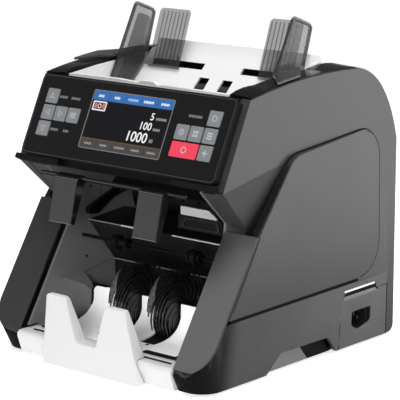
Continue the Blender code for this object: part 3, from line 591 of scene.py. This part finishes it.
def arrow(x, u, turn):
    """Open triangle that points up, turned about its middle."""
    outlines = []
    for size in (3.6, 2.6):
        points = [(0.0, size), (-size * 0.95, -size * 0.66), (size * 0.95, -size * 0.66)]
        c, s = math.cos(turn), math.sin(turn)
        outlines.append([(x + a * c - b * s, u + a * s + b * c) for a, b in points])
    return outlines


def cross_outline(x, u, reach, half):
    """Plus sign with arms of a given reach and half-width."""
    outline = []
    for a, b in ((1, 0), (0, 1), (-1, 0), (0, -1)):
        outline += [(x + a * reach + b * half, u + b * reach - a * half),
                    (x + a * reach - b * half, u + b * reach + a * half),
                    (x + (a - b) * half, u + (a + b) * half)]
    return outline


def key_marks():
    """Plain marks on the keys and dashes beside them, with no lettering."""
    low, middle, high = KEY_ROWS
    near, mid, far = KEY_COLUMNS
    marks = [("key_up", arrow(-far, high, 0)), ("key_left", arrow(-far, middle, math.pi / 2)),
             ("key_right", arrow(-mid, middle, -math.pi / 2)),
             ("key_down", arrow(-far, low, math.pi)),
             ("key_menu", [bar(-near - 3.8, -near + 3.8, middle + d, 1.0) for d in (-2, 0, 2)]),
             ("key_auto", ring_outline(far, high, 3.2, 2.3)),
             ("key_currency", ring_outline(near, middle, 3.2, 2.4)
              + [panel(near - 0.5, near + 0.5, middle - 1.6, middle + 1.6, 0.3, 3)]),
             ("key_mode", [panel(mid + dx - 1.3, mid + dx + 1.3, middle + du - 1.3,
                                 middle + du + 1.3, 0.4, 3)
                           for dx in (-1.8, 1.8) for du in (-1.8, 1.8)]),
             ("key_batch", [bar(far - 3.4, far + 3.4, middle + d, 1.5) for d in (-2.6, 0, 2.6)]),
             ("key_reset", ring_outline((near + mid) / 2, low, 3.4, 2.4)),
             ("key_add", [cross_outline(far, low, 3.2, 0.6)])]
    for key, outlines in marks:
        plate(f"{key}_mark", outlines, HEAD, KEY_TOP - 0.05, KEY_TOP + 0.04, KEYINK,
              f"{key}_body")
    legends = [(-100.5, -89.0, 70.2), (-84.0, -71.5, 70.2), (-100.5, -88.5, 35.0),
               (-82.0, -73.5, 35.0), (77.0, 95.0, 69.6)]
    for i, (x0, x1, u) in enumerate(legends):
        plate(f"bezel_legend_{i}", dashes(x0, x1, u, 2.7), HEAD, BEZEL_H - 0.05, BEZEL_H + 0.03,
              INK)


def bezel_highlight_line():
    """Thin raised line that runs round the bezel, just inside its edge, coloured lighter grey as a
    painted highlight on the edge.
    """
    x, (u0, u1) = BEZEL_X, BEZEL_U
    line = [panel(-x + 1.6, x - 1.6, u0 + 1.6, u1 - 1.6, 5.0, 8),
            panel(-x + 2.1, x - 2.1, u0 + 2.1, u1 - 2.1, 4.5, 8)]
    plate("bezel_edge_highlight", line, HEAD, BEZEL_H - 0.1, BEZEL_H + 0.12, BEZEL_HIGHLIGHT)


# ---- stacker wheels -------------------------------------------------------------------
def finger_ring(shape, x, phase, fingers, thick):
    """One thin layer of the wheel: curved fingers that trail far round and end in points."""
    root, tip, steps = 10.0, WHEEL_R - 0.3, 11
    for n in range(fingers):
        start = phase + 2 * math.pi * n / fingers
        lead, trail = [], []
        for i in range(steps + 1):
            t = i / steps
            angle = start + 0.35 * t + 1.2 * t * t
            wide = 2.6 * (1 - t) ** 0.8 + 0.55
            for radius, row in ((root + (tip - root) * t, lead),
                                (root + (tip - root) * t - wide * (0.35 + 0.65 * t), trail)):
                row.append((radius * math.cos(angle), radius * math.sin(angle)))
        outline = lead + trail[::-1]
        near, far = ([shape.verts.new((u * MM, v * MM, (x + depth) * MM)) for u, v in outline]
                     for depth in (-thick / 2, thick / 2))
        count = len(outline)
        for i in range(count):
            j = (i + 1) % count
            shape.faces.new((near[i], near[j], far[j], far[i]))
        for i in range(steps):
            k = count - 1 - i
            shape.faces.new((near[i], near[k], near[k - 1], near[i + 1]))
            shape.faces.new((far[i], far[i + 1], far[k - 1], far[k]))


def vane_wheel(name, side):
    """Hub with thin layers of long curved rubber fingers, each layer turned a little on."""
    layers, pitch = 8, 2.3
    shape = bmesh.new()
    for k in range(layers):
        x = (k - (layers - 1) / 2) * pitch
        finger_ring(shape, x, phase=0.17 * k + 0.4 * side, fingers=14, thick=1.8)
    place = Matrix.Translation((side * WHEEL_X * MM, WHEEL_AXIS[0] * MM, WHEEL_AXIS[1] * MM))
    piece(f"{name}_vanes", to_mesh(shape, f"{name}_vanes"), place @ SIDE_VIEW, VANE, "stacker",
          0.2, 1)
    half = [(7.2, 26.6), (8.0, 25.0), (8.2, 9.6), (9.0, 8.0), (9.0, 4.1)]
    hub_profile = [(-x, radius) for x, radius in reversed(half)] + half
    core = turned(f"{name}_wheel_hub", hub_profile, side * WHEEL_X, WHEEL_AXIS, RUBBER, "stacker")
    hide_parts(f"{name}_stacker_wheel")
    # painted highlight: the foremost finger ends in a broad pale tip that widens and then narrows,
    # in place of the light on the finger ends
    leaf, count, radius = [], 9, (WHEEL_R - 0.9) * MM
    first, widest, last = 2.05, 2.75, 3.17
    for i in range(count):
        turn = first + (last - first) * i / (count - 1)
        wide = (8.5 * min(1.0, (turn - first) / (widest - first))
                - 9.0 * max(0.0, turn - widest))
        for across in (-9.4, -9.4 + max(wide, 0.4)):
            leaf.append((radius * math.cos(turn), radius * math.sin(turn), across * MM))
    ribbon(f"{name}_tip_highlight", leaf, place @ SIDE_VIEW, HIGHLIGHT_GREY, "stacker", 0.4)


# ---- the mouth ------------------------------------------------------------------------
def wall_line(name, side, start, end, width=0.5):
    """Fine parting line on the inner face of a mouth wall."""
    x0, x1 = between(side, WALL_X - 0.08, WALL_X + 0.2)
    side_plate(name, strip([start, end], width), x0, x1, GAPLINE)


def mouth():
    """Fittings on the walls of the mouth and in the reject pocket."""
    for name, side in SIDES:
        wall_line(f"{name}_seam_high", side, (-31, 177), (-37, 148))
        wall_line(f"{name}_seam_mid", side, (-69, 69), (-15, 78), 0.4)
        wall_line(f"{name}_seam_low", side, (-79, 66), (-86, 50), 0.4)
        # arm that bridges from the wall's front to the chute
        arm = rounded([(-59, 134.5, 3), (-45, 133.0, 3), (-20, 147.0, 12), (26, 157.0, 2),
                       (26, 172.0, 2), (8, 168.0, 2), (-14, 158.0, 14), (-59, 141.5, 3)])
        x0, x1 = between(side, WALL_X - 5.5, WALL_X - 0.3)
        side_plate(f"{name}_arm", arm, x0, x1, BLACK, edge=0.6)
        for i, (y, z) in enumerate(((-40, 118), (-58, 88), (-41, 137), (-50, 163))):
            x = side * (WALL_X - 0.2)
            turned(f"{name}_dot_{i}", [(-0.4, 0), (-0.4, 1.2), (0.4, 1.2), (0.4, 0)], x, (y, z),
                   GAPLINE, segments=16)
    # painted highlights in white along the front edge of the reject shelf, and a bright steel edge
    # on the lip below it
    y, z = SHELF_EDGE
    for name, (x0, x1), half in (("a", (-103.0, -56.0), 0.25), ("b", (-55.0, -36.0), 0.8),
                                 ("c", (17.0, 103.0), 0.6)):
        edge = rounded([(y, z - half, 0.2), (y, z + half, 0.2), (y + 1.9, z + half, 0.2),
                        (y + 1.9, z - half, 0.2)], 3)
        side_plate(f"shelf_edge_highlight_{name}", edge, x0, x1, WHITE, edge=0.1)
    lip = [(-16.4, 77.6), (-15.9, 78.6), (-14.8, 78.4), (-15.3, 77.2)]
    side_plate("lip_edge", lip, -103.0, 103.0, STEEL)
    # white stop bar in the reject pocket
    stop = rounded([(20.0, 149.4, 1.0), (71.5, 149.4, 1.0), (58.0, 158.4, 1.0),
                    (20.0, 158.4, 1.0)])
    front_plate("reject_stop", stop, -46.0, -43.0, WHITE, edge=0.5)
    bracket = rounded([(14.0, 133.5, 1), (78.0, 133.5, 1), (74.0, 148.8, 1), (16.0, 148.8, 1)])
    front_plate("reject_stop_foot", bracket, -44.5, -38.0, BLACK, edge=0.6)
    rim = [rounded([(18.0, 136.0, 2), (74.0, 136.0, 2), (70.0, 147.0, 3), (26.0, 147.0, 3)]),
           rounded([(22.0, 138.0, 1.5), (68.5, 138.0, 1.5), (66.5, 145.2, 2), (28.5, 145.2, 2)])]
    front_plate("reject_stop_frame", rim, -45.4, -44.2, DARK, edge=0.2)
    for i in range(9):
        x = -88.0 + 22.0 * i
        rib = strip([(-21.0, 156.0), (-8.0, 166.6), (24.0, 190.5)], -2.0)
        side_plate(f"chute_rib_{i}", rib, x - 0.9, x + 0.9, DARK, edge=0.3)
    # knobs on the reject roller shaft
    for name, side in SIDES:
        knob = [(-3.5, 3.1), (-3.5, 7.0), (-2.6, 7.9), (-0.4, 7.9), (0.2, 6.4), (1.5, 5.0),
                (9.5, 4.6), (10.5, 5.6), (12.5, 5.6), (12.5, 3.1)]
        turned(f"reject_knob_{name}", knob, side * 50.0, REJECT_AXIS, MATTE, "reject")


def stacker_pocket():
    """Wheels and the dark lines round the white plate and on the base."""
    for name, side in SIDES:
        vane_wheel(name, side)
    # dark trim that shows round the white plate
    path = [(-64.6, 62.6), (-65.0, 46.0), (-66.2, 40.0), (-70.0, 31.0), (-78.0, 26.4),
            (-98.0, 24.6)]
    side_plate("stacker_trim", strip(path, 1.2), -89.0, 89.0, GAPLINE)
    floor_line = [(-66.4, 53.0), (-67.2, 44.0), (-69.8, 36.5), (-75.0, 30.8), (-84.0, 28.0),
                  (-98.0, 27.3), (-130.0, 27.3)]
    for name, side in SIDES:
        x0, x1 = between(side, 84.9, 86.9)
        side_plate(f"{name}_plate_outline", strip(floor_line, -0.9), x0, x1, GAPLINE)
        corner = fillet((side * 86.0, 61.2), (side * 86.0, 50.0), (side * 60.0, 61.2), 9, 6)
        corner = [(side * 86.0, 50.0)] + corner + [(side * 66.0, 61.2)]
        front_plate(f"{name}_plate_corner", strip(corner, side * -1.3), -67.6, -65.9, GAPLINE)
        for i, (y0, y1) in enumerate(((-134.6, -126.5), (-146.9, -144.3))):
            x0, x1 = between(side, 40.4 if i else 46.0, 95.6)
            side_plate(f"{name}_base_groove_{i}", rect(y0, y1, 27.0, 27.6), x0, x1, GAPLINE)
        hole = ring_outline(side * 33.0, -112.0, 2.2, 0.0)[0]
        plate(f"{name}_floor_sensor", hole, Matrix.Identity(4), 27.0, 27.35, GAPLINE)


def paddles():
    """Satin skins on the fronts of the two note catches, with a painted highlight in pale grey
    along the lower edge.
    """
    view = face_frame((CATCH_AXIS[0] - 17.0, CATCH_AXIS[1] - 45.0),
                      (CATCH_AXIS[0] - 6.0, CATCH_AXIS[1] + 1.0))
    for name, side in SIDES:
        x0, x1 = between(side, CATCH_X[0] + 0.3, CATCH_X[1] - 0.3)
        plate(f"{name}_catch_skin", panel(x0, x1, 0.8, 45.6, 1.4), view, -0.6, 0.5, CATCH,
              "catches", edge=0.4)
        # pale strip along the lower edge: a painted highlight
        plate(f"{name}_catch_edge_highlight", panel(x0, x1, 0.0, 0.7, 0.2, 2), view, -0.9, 0.35, HIGHLIGHT_GREY,
              "catches")


# ---- hopper ---------------------------------------------------------------------------
def top_z(y):
    """Height of the side walls' top edge, as in the CAD model."""
    reach = y - HEAD_TOP.x
    return HEAD_TOP.y + 0.196 * reach - 0.00073 * reach * reach


def crown(name, side, stations):
    """Glossy strip that falls outwards along the top of a side wall; stations are (y, rise)."""
    section = [(112.2, 0.1), (112.2, 2.6), (113.2, 3.2), (137.0, 1.0), (139.6, 0.1)]
    shape = bmesh.new()
    rings = [[shape.verts.new((side * x * MM, y * MM, (top_z(y) + 0.1 + rise * dz) * MM))
              for x, dz in section] for y, rise in stations]
    for a, b in zip(rings, rings[1:]):
        for i in range(len(section)):
            j = (i + 1) % len(section)
            shape.faces.new((a[i], a[j], b[j], b[i]))
    shape.faces.new(rings[0])
    shape.faces.new(rings[-1])
    piece(name, to_mesh(shape, name), Matrix.Identity(4), CROWN, edge=0.3)


def hopper():
    """Fittings of the tray and the guides, and the crowns of the side walls."""
    # rim of the tray in front of the trough, with a low step in the middle
    rim = rounded([(-110.5, 284.0), (110.5, 284.0), (110.5, 285.6), (24.0, 286.4, 2),
                   (13.0, 285.4, 2), (8.0, 288.6, 1.5), (-8.0, 288.6, 1.5), (-13.5, 285.8, 2),
                   (-40.0, 287.2, 4), (-110.5, 286.2)])
    front_plate("tray_rim", rim, -73.2, -68.0, WHITE, edge=0.4)
    for i in range(4):
        y0 = 62.4 + 4.0 * i
        z0 = 310.8 - 0.8 * (i + 0.4)
        ridge = [(y0, z0 - 1.0), (y0 + 0.3, z0 + 0.35), (y0 + 1.6, z0 + 0.1), (y0 + 2.0, z0 - 1.4)]
        side_plate(f"rest_ridge_{i}", ridge, -98.0, 98.0, WHITE, edge=0.2)
    view = face_frame((34.6, 283.5), (56.5, 345.0))
    front = ((-77.0, 0.45), (-69.0, 0.8), (-58.0, 0.8), (-48.0, 0.4), (-41.0, 0.05))
    rear = ((43.0, 0.05), (51.0, 0.5), (60.0, 0.9), (74.0, 1.0), (86.0, 0.8), (92.0, 0.4))
    for name, side in SIDES:
        body = f"{name}_guide_body"
        x0, x1 = between(side, 61.0, 101.0)
        side_plate(f"ramp_liner_{name}", strip([(4.0, 245.4), (58.0, 299.4)], -1.0), x0, x1,
                   GAPLINE)
        for i in range(7):
            x0, x1 = between(side, 58.0 + 5.4 * i, 58.7 + 5.4 * i)
            plate(f"{name}_guide_rib_{i}", panel(x0, x1, 5.0, 62.0, 0.3, 3), view, -0.3, 0.7,
                  SMOKE, body)
        rim_path = [(-20.6, 261.5), (25.2, 350.2), (29.0, 352.0), (54.4, 342.9), (57.2, 339.4),
                    (44.9, 301.0)]
        x0, x1 = between(side, 105.6, 109.2)
        side_plate(f"{name}_guide_rim", strip(rim_path, -2.4), x0, x1, SMOKE_RIM, body, 0.5)
        if side < 0:
            # raised field on the inner face
            inset = rounded([(-10.0, 262.5, 4), (30.0, 341.5, 5), (50.5, 334.5, 6), (40.5, 300.0),
                             (40.0, 292.0), (11.5, 262.5, 2)])
            x0, x1 = between(side, 106.2, 106.7)
            side_plate(f"{name}_guide_field", inset, x0, x1, SMOKE, body)
        crown(f"{name}_crown_front", side, front)
        crown(f"{name}_crown_rear", side, rear)


# ---- sides and inlet ------------------------------------------------------------------
def belt_x(y):
    """Half-width of the body along the belt line, as in the CAD model."""
    return 142.0 + FLARE * max(0.0, 136.0 - y)


def skirt_x(y, z, share=1.0):
    """Half-width of the leaning skirt at a height, or of a face with a share of its lean."""
    return SKIRT_X + (belt_x(y) - SKIRT_X) * (z - SKIRT_Z) / (BELT_Z - SKIRT_Z) * share


def leaning_plate(name, outline, d0, d1, mat, edge=0.0):
    """Side-view plate that follows the leaning face of the inlet cover."""
    mesh = extrude_outlines(name, [outline], d1 - d0)
    for vert in mesh.vertices:
        reach = skirt_x(vert.co.x / MM, vert.co.y / MM, 0.9)
        vert.co.z += (reach + (d0 + d1) / 2) * MM
    return piece(name, mesh, SIDE_VIEW, mat, edge=edge)


def smooth_skirt(name, side):
    """Copy of a skirt whose flared side and rounded corner are shaded as one smooth surface."""
    node = frame["nodes"][f"{name}_skirt"]
    shape = bmesh.new()
    shape.from_mesh(node.data)
    bmesh.ops.remove_doubles(shape, verts=shape.verts, dist=1e-6)
    mesh = bpy.data.meshes.new(f"{name}_skirt_shell")
    shape.to_mesh(mesh)
    shape.free()
    spots = [vert.co / MM for vert in mesh.vertices]
    depths = [skirt_x(spot.y, spot.z) - side * spot.x for spot in spots]
    corner, kinds = {}, []
    for poly in mesh.polygons:
        normal, y = poly.normal, poly.center.y / MM
        if y > -122 and max(depths[v] for v in poly.vertices) < 1.0:
            kinds.append("side")
        elif y < -118 and normal.x * side > -0.2 and normal.y < 0.3 and abs(normal.z) < 0.6:
            kinds.append("corner")
        else:
            kinds.append("flat")
            continue
        for v in poly.vertices:
            corner[v] = corner.get(v, Vector()) + normal * poly.area
    normals = [Vector((0, 0, 1))] * len(mesh.loops)
    for poly, kind in zip(mesh.polygons, kinds):
        for loop in poly.loop_indices:
            v = mesh.loops[loop].vertex_index
            if kind == "side":
                rise = (spots[v].z - SKIRT_Z) / (BELT_Z - SKIRT_Z)
                lean = (belt_x(spots[v].y) - SKIRT_X) / (BELT_Z - SKIRT_Z)
                normals[loop] = Vector((side, FLARE * rise, -lean)).normalized()
            elif kind == "corner":
                normals[loop] = corner[v].normalized()
            else:
                normals[loop] = poly.normal.copy()
    mesh.materials.clear()
    mesh.materials.append(SKIRT)
    mesh.shade_smooth()
    mesh.normals_split_custom_set(normals)
    obj = added(f"{name}_skirt_shell", mesh)
    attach(obj, "machine")
    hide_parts(f"{name}_skirt")


def surface_line(name, side, path, width):
    """Thin dark line laid on the outer face of a side panel, just inside a (y, z) path."""
    data = frame["nodes"][f"{'left' if side < 0 else 'right'}_panel"].data
    tree = BVHTree.FromPolygons([v.co for v in data.vertices],
                                [p.vertices[:] for p in data.polygons])
    middle = Vector((20, 150))   # of the panel
    fine = []
    for (ya, za), (yb, zb) in zip(path, path[1:]):
        count = max(1, int(math.hypot(yb - ya, zb - za) / 6))
        fine += [(ya + (yb - ya) * i / count, za + (zb - za) * i / count) for i in range(count)]
    fine.append(path[-1])
    points = []
    for i, point in enumerate(fine):
        before, after = fine[max(0, i - 1)], fine[min(len(fine) - 1, i + 1)]
        across = Vector((before[1] - after[1], after[0] - before[0])).normalized()
        if across.dot(middle - Vector(point)) < 0:
            across = -across
        row = []
        for inset in (0.9, 0.9 + width):
            at = Vector(point) + across * inset
            hit = tree.ray_cast(Vector((side * 0.2, at.x * MM, at.y * MM)), Vector((-side, 0, 0)))
            if hit[0] is not None:
                row.append(hit[0] + Vector((side * 0.00004, 0, 0)))
        if len(row) == 2:
            points += row
    ribbon(name, points, Matrix.Identity(4), GAPLINE, "machine", 0.08)


def panel_groove(name, side):
    """Dark parting line round the side panel, and at its front edge a dark line and a stepped
    wedge of black strips, both painted shade on that shaded edge.
    """
    path = [(-70.0, 156.4)] + fillet((-18.0, 221.0), (-75.0, 150.3), (132.0, 235.0), 28, 8)
    path += fillet((132.0, 235.0), (-18.0, 221.0), (136.0, 74.5), 32, 10)
    path += fillet((136.0, 74.5), (132.0, 235.0), (-122.0, 74.5), 36, 10)
    x0, x1 = between(side, SIDE_X - 0.2, SIDE_X + 0.2)
    side_plate(f"{name}_panel_groove", strip(path, 1.1), x0, x1, GAPLINE)
    rear = path[12:]             # from the round top corner down and along the foot
    surface_line(f"{name}_panel_rear_line", side, rear, 0.7)
    # painted shade: dark line just inside the panel's front edge
    front = [(-122.0 + 4.7 * i, 75.2 + 7.48 * i) for i in range(11)]
    surface_line(f"{name}_panel_front_shade", side, front, 0.9)
    # stepped strips on the front edge face, real steps coloured black as painted shade
    for i in range(3):
        reach = 1.5 - 0.5 * i
        wedge = strip([(-75.4, 151.0), (-26.0, 212.4)], reach)
        x0, x1 = between(side, SIDE_X + 0.3 + 2.2 * i, SIDE_X + 2.1 + 2.2 * i)
        side_plate(f"{name}_panel_edge_shade_{i}", wedge, x0, x1, BLACK, edge=0.3)


def facet_skin(name, side):
    """Flat skin on the slanting facet below the head's cheek, a little lighter than the cover
    grey: painted light on the facet.
    """
    crease = Vector((0, 112.0, 20.5)).normalized()
    down = Vector((0, crease.z, -crease.y))
    sideways = Vector((side, 0, 0))
    tilt = math.radians(8.5)
    slope = down * math.cos(tilt) - sideways * math.sin(tilt)
    out = sideways * math.cos(tilt) + down * math.sin(tilt)
    frame_on = Matrix((crease * -side, slope, out)).transposed().to_4x4()
    frame_on.translation = Vector((side * SIDE_X, HEAD_FOOT.x, HEAD_FOOT.y)) * MM
    outline = [(-side * a, b) for a, b in ((1.0, 0.4), (108.0, 0.4), (35.0, 48.2))]
    plate(f"{name}_facet_skin", outline, frame_on, -0.4, 0.12, FACET_LIT)


def sides():
    """Skirts, panels and facets of both sides, and the lines of the inlet cover."""
    for name, side in SIDES:
        smooth_skirt(name, side)
        panel_groove(name, side)
        facet_skin(name, side)
        x0, x1 = between(side, 134.4, 135.8)
        # the grip's wall in two tones: a pale lit part and a dark shaded part, painted light and
        # painted shade on one face
        lit_part = [(-47, 3.0), (20, 3.0), (12, 12.0), (5, 20.5), (-33, 20.5)]
        side_plate(f"{name}_grip_wall_lit", lit_part, x0, x1, HIGHLIGHT_GREY, edge=0.3)
        shaded_part = [(20.5, 3.0), (57, 3.0), (44, 20.5), (5.5, 20.5), (12.5, 12.0)]
        side_plate(f"{name}_grip_shade", shaded_part, x0, x1, GAPLINE, edge=0.3)
        # wedge over the belt line at the panel's rear corner, and a dark sheet under the panel
        # that is painted shade in the gap along the belt line
        inner = SIDE_X - 0.1
        ledge = [(side * inner, 165.0), (side * inner, BELT_Z), (side * (inner + 2.2), BELT_Z)]
        front_plate(f"{name}_belt_fill", ledge, 97.0, 149.6, GREY)
        gap_sheet = [(inner, -119.0), (belt_x(-119.0) - 1.5, -119.0), (belt_x(96.5) - 1.5, 96.5),
                (inner, 96.5)]
        place = Matrix.Translation((0, 0, 73.0 * MM))
        plate(f"{name}_belt_gap_shade", [[(side * x, y) for x, y in gap_sheet]], place, -1.3, 1.3, GAPLINE)
    for i, (y0, y1, z0, z1) in enumerate(((65.7, 66.3, 2.6, 58.5), (149.6, 150.2, 2.6, 58.5),
                                          (65.7, 73.3, 58.0, 58.6), (127.2, 150.2, 58.0, 58.6))):
        leaning_plate(f"inlet_line_{i}", rect(y0, y1, z0, z1), -0.6, 0.36 if i else 0.6, GAPLINE)
    leaning_plate("latch_well", rect(70.2, 128.5, 57.6, 66.2), -1.6, -0.4, GAPLINE)
    leaning_plate("latch_slot", rect(71.0, 128.0, 58.9, 63.2), -0.6, 0.12, GAPLINE)
    # painted highlight: a white bar along the top of the latch, and a pale lit lip below it
    latch = rounded([(70.8, 63.3, 0.4), (126.6, 63.3, 0.4), (126.0, 65.4, 0.4),
                     (70.8, 65.4, 0.4)], 3)
    leaning_plate("latch_top_highlight", latch, -1.0, 1.0, WHITE, edge=0.5)
    lip = [(70.8, 54.6), (132.0, 54.6), (127.6, 58.8), (70.8, 58.8)]
    leaning_plate("latch_lip_lit", lip, -0.5, 0.7, HIGHLIGHT_GREY, edge=0.6)
    notch = [(127.4, 58.9), (132.6, 55.0), (136.2, 64.6), (127.4, 66.2)]
    leaning_plate("latch_notch", notch, -0.5, 0.15, GAPLINE)


# ---- back -----------------------------------------------------------------------------
def screw(name, x, z):
    """Cross-head screw that faces the back."""
    y = REAR_Y - 1.0
    head = turned(name, [(-0.8, 0), (-0.8, 3.0), (-0.2, 3.0), (0.5, 2.4), (0.8, 1.2), (0.8, 0)],
                  0, (0, 0), STEEL, segments=24)
    head.matrix_world = (Matrix.Translation((x * MM, y * MM, z * MM))
                         @ Matrix.Rotation(math.pi / 2, 4, "Z") @ SIDE_VIEW)
    for i, (w, h) in enumerate(((3.2, 0.5), (0.5, 3.2))):
        front_plate(f"{name}_slot_{i}", panel(x - w / 2, x + w / 2, z - h / 2, z + h / 2, 0.1, 2),
                    y + 0.5, y + 0.9, GAPLINE)


def back():
    """Vents and screws of the rear panel."""
    for i in range(14):
        x = -65.0 + 10.0 * i
        front_plate(f"rear_vent_{i}", panel(x - 2.2, x + 2.2, 24.0, 62.0, 2.1), REAR_Y - 0.9,
                    REAR_Y - 0.3, GAPLINE)
    for i, (x, z) in enumerate(((-115, 30), (115, 30), (-115, 66), (115, 66))):
        screw(f"rear_screw_{i}", x, z)


# ---- stage, light and camera ----------------------------------------------------------
def softbox(name, place, target, size, level, only=()):
    """Rectangular studio light aimed at a point; with pieces in only, no other catches it."""
    data = bpy.data.lights.new(name, "AREA")
    data.shape = "RECTANGLE"
    data.size, data.size_y = size
    data.energy = level * math.pi * size[0] * size[1]
    lamp = added(name, data)
    lamp.location = place
    aim = Vector(target) - Vector(place)
    lamp.rotation_euler = aim.to_track_quat("-Z", "Y").to_euler()
    lamp.visible_camera = False
    if only:
        group = bpy.data.collections.new(f"{name}_only")
        for obj in only:
            group.objects.link(obj)
        lamp.light_linking.receiver_collection = group


def stage():
    """Pale floor, even world and the lights that fall on everything."""
    reach = FLOOR_REACH
    floor_mesh = bpy.data.meshes.new("floor")
    floor_mesh.from_pydata([(x, y, FLOOR_Z) for x, y in ((-reach, -reach), (reach, -reach),
                                                         (reach, reach), (-reach, reach))],
                           [], [(0, 1, 2, 3)])
    floor = added("floor", floor_mesh)
    paper = Shader(surface("floor_paper", (0.90, 0.90, 0.90), 0.8, cloud=0.01, specular=0.0))
    paper.set("Emission Color", (1, 1, 1, 1))
    paper.set("Emission Strength", FLOOR_GLOW)
    floor_mesh.materials.append(paper.mat)
    floor.visible_glossy = False
    floor.visible_shadow = False
    world = bpy.data.worlds.new("studio")
    world.use_nodes = True
    tree = world.node_tree
    back_light = tree.nodes["Background"]
    path = tree.nodes.new("ShaderNodeLightPath")
    level = tree.nodes.new("ShaderNodeMapRange")
    tree.links.new(path.outputs["Is Camera Ray"], level.inputs["Value"])
    level.inputs["To Min"].default_value = WORLD_LEVEL
    level.inputs["To Max"].default_value = BACKDROP_LEVEL
    tree.links.new(level.outputs[0], back_light.inputs["Strength"])
    back_light.inputs["Color"].default_value = (1.0, 1.0, 1.0, 1.0)
    bpy.context.scene.world = world
    softbox("side_right", (1.05, 0.95, 0.49), (0.0, 0.0, 0.26), (1.9, 1.5), 2.1)
    softbox("rear_left", (-1.3, 1.5, 0.05), (0, 0, 0.05), (2.0, 0.9), 1.0)
    softbox("top", (0.15, -0.25, 1.7), (0, 0, 0.1), (1.5, 1.5), 3.7)
    softbox("front_right", (1.5, -1.7, 1.1), (0, -0.05, 0.1), (1.1, 1.1), 2.3)
    softbox("front_left_low", (-1.2, -1.5, 0.34), (0, -0.1, 0.15), (1.2, 0.6), 1.7)


def flagged_lights():
    """Lights that each reach only some pieces: mouth, skirts, tray or right band."""
    nodes = frame["nodes"]
    new = bpy.data.objects
    mouth_set = [new["left_vanes"], new["right_vanes"], nodes["stacker_plate"],
                 nodes["left_inner_wall"], nodes["right_inner_wall"], nodes["left_cover"]]
    softbox("mouth_fill", (0.62, -1.35, 0.50), (0, -0.08, 0.08), (0.6, 0.5), 26, mouth_set)
    softbox("skirt_fill", (1.2, 0.3, -0.12), (0.14, -0.03, 0.05), (1.8, 0.5), 2.9,
            [new["left_skirt_shell"], new["right_skirt_shell"], nodes["inlet_cover"]])
    softbox("tray_glow", (0.3, -1.0, 1.1), (0, -0.07, 0.285), (0.5, 0.5), 2.0,
            [new["tray_rim"], nodes["hopper_tray"]])
    softbox("band_glow", (-0.15, -0.40, 0.50), (0.128, -0.118, 0.11), (0.30, 0.66), 2.2,
            [nodes["right_band"]])


def camera():
    """Long lens that looks a little down on the front right corner."""
    azimuth, height, roll = (math.radians(angle) for angle in CAMERA_TURN)
    data = bpy.data.cameras.new("camera")
    data.lens = CAMERA_LENS
    data.sensor_width = 36.0
    data.clip_end = 50
    cam = added("camera", data)
    cam.matrix_world = (Matrix.Translation(CAMERA_AT) @ Matrix.Rotation(azimuth, 4, "Z")
                        @ Matrix.Rotation(math.pi / 2 - height, 4, "X")
                        @ Matrix.Rotation(roll, 4, "Z"))
    bpy.context.scene.camera = cam
    bpy.context.scene.view_settings.view_transform = "Standard"


camera()
stage()
dress_cad()
display()
key_marks()
bezel_highlight_line()
mouth()
stacker_pocket()
paddles()
hopper()
sides()
back()
flagged_lights()
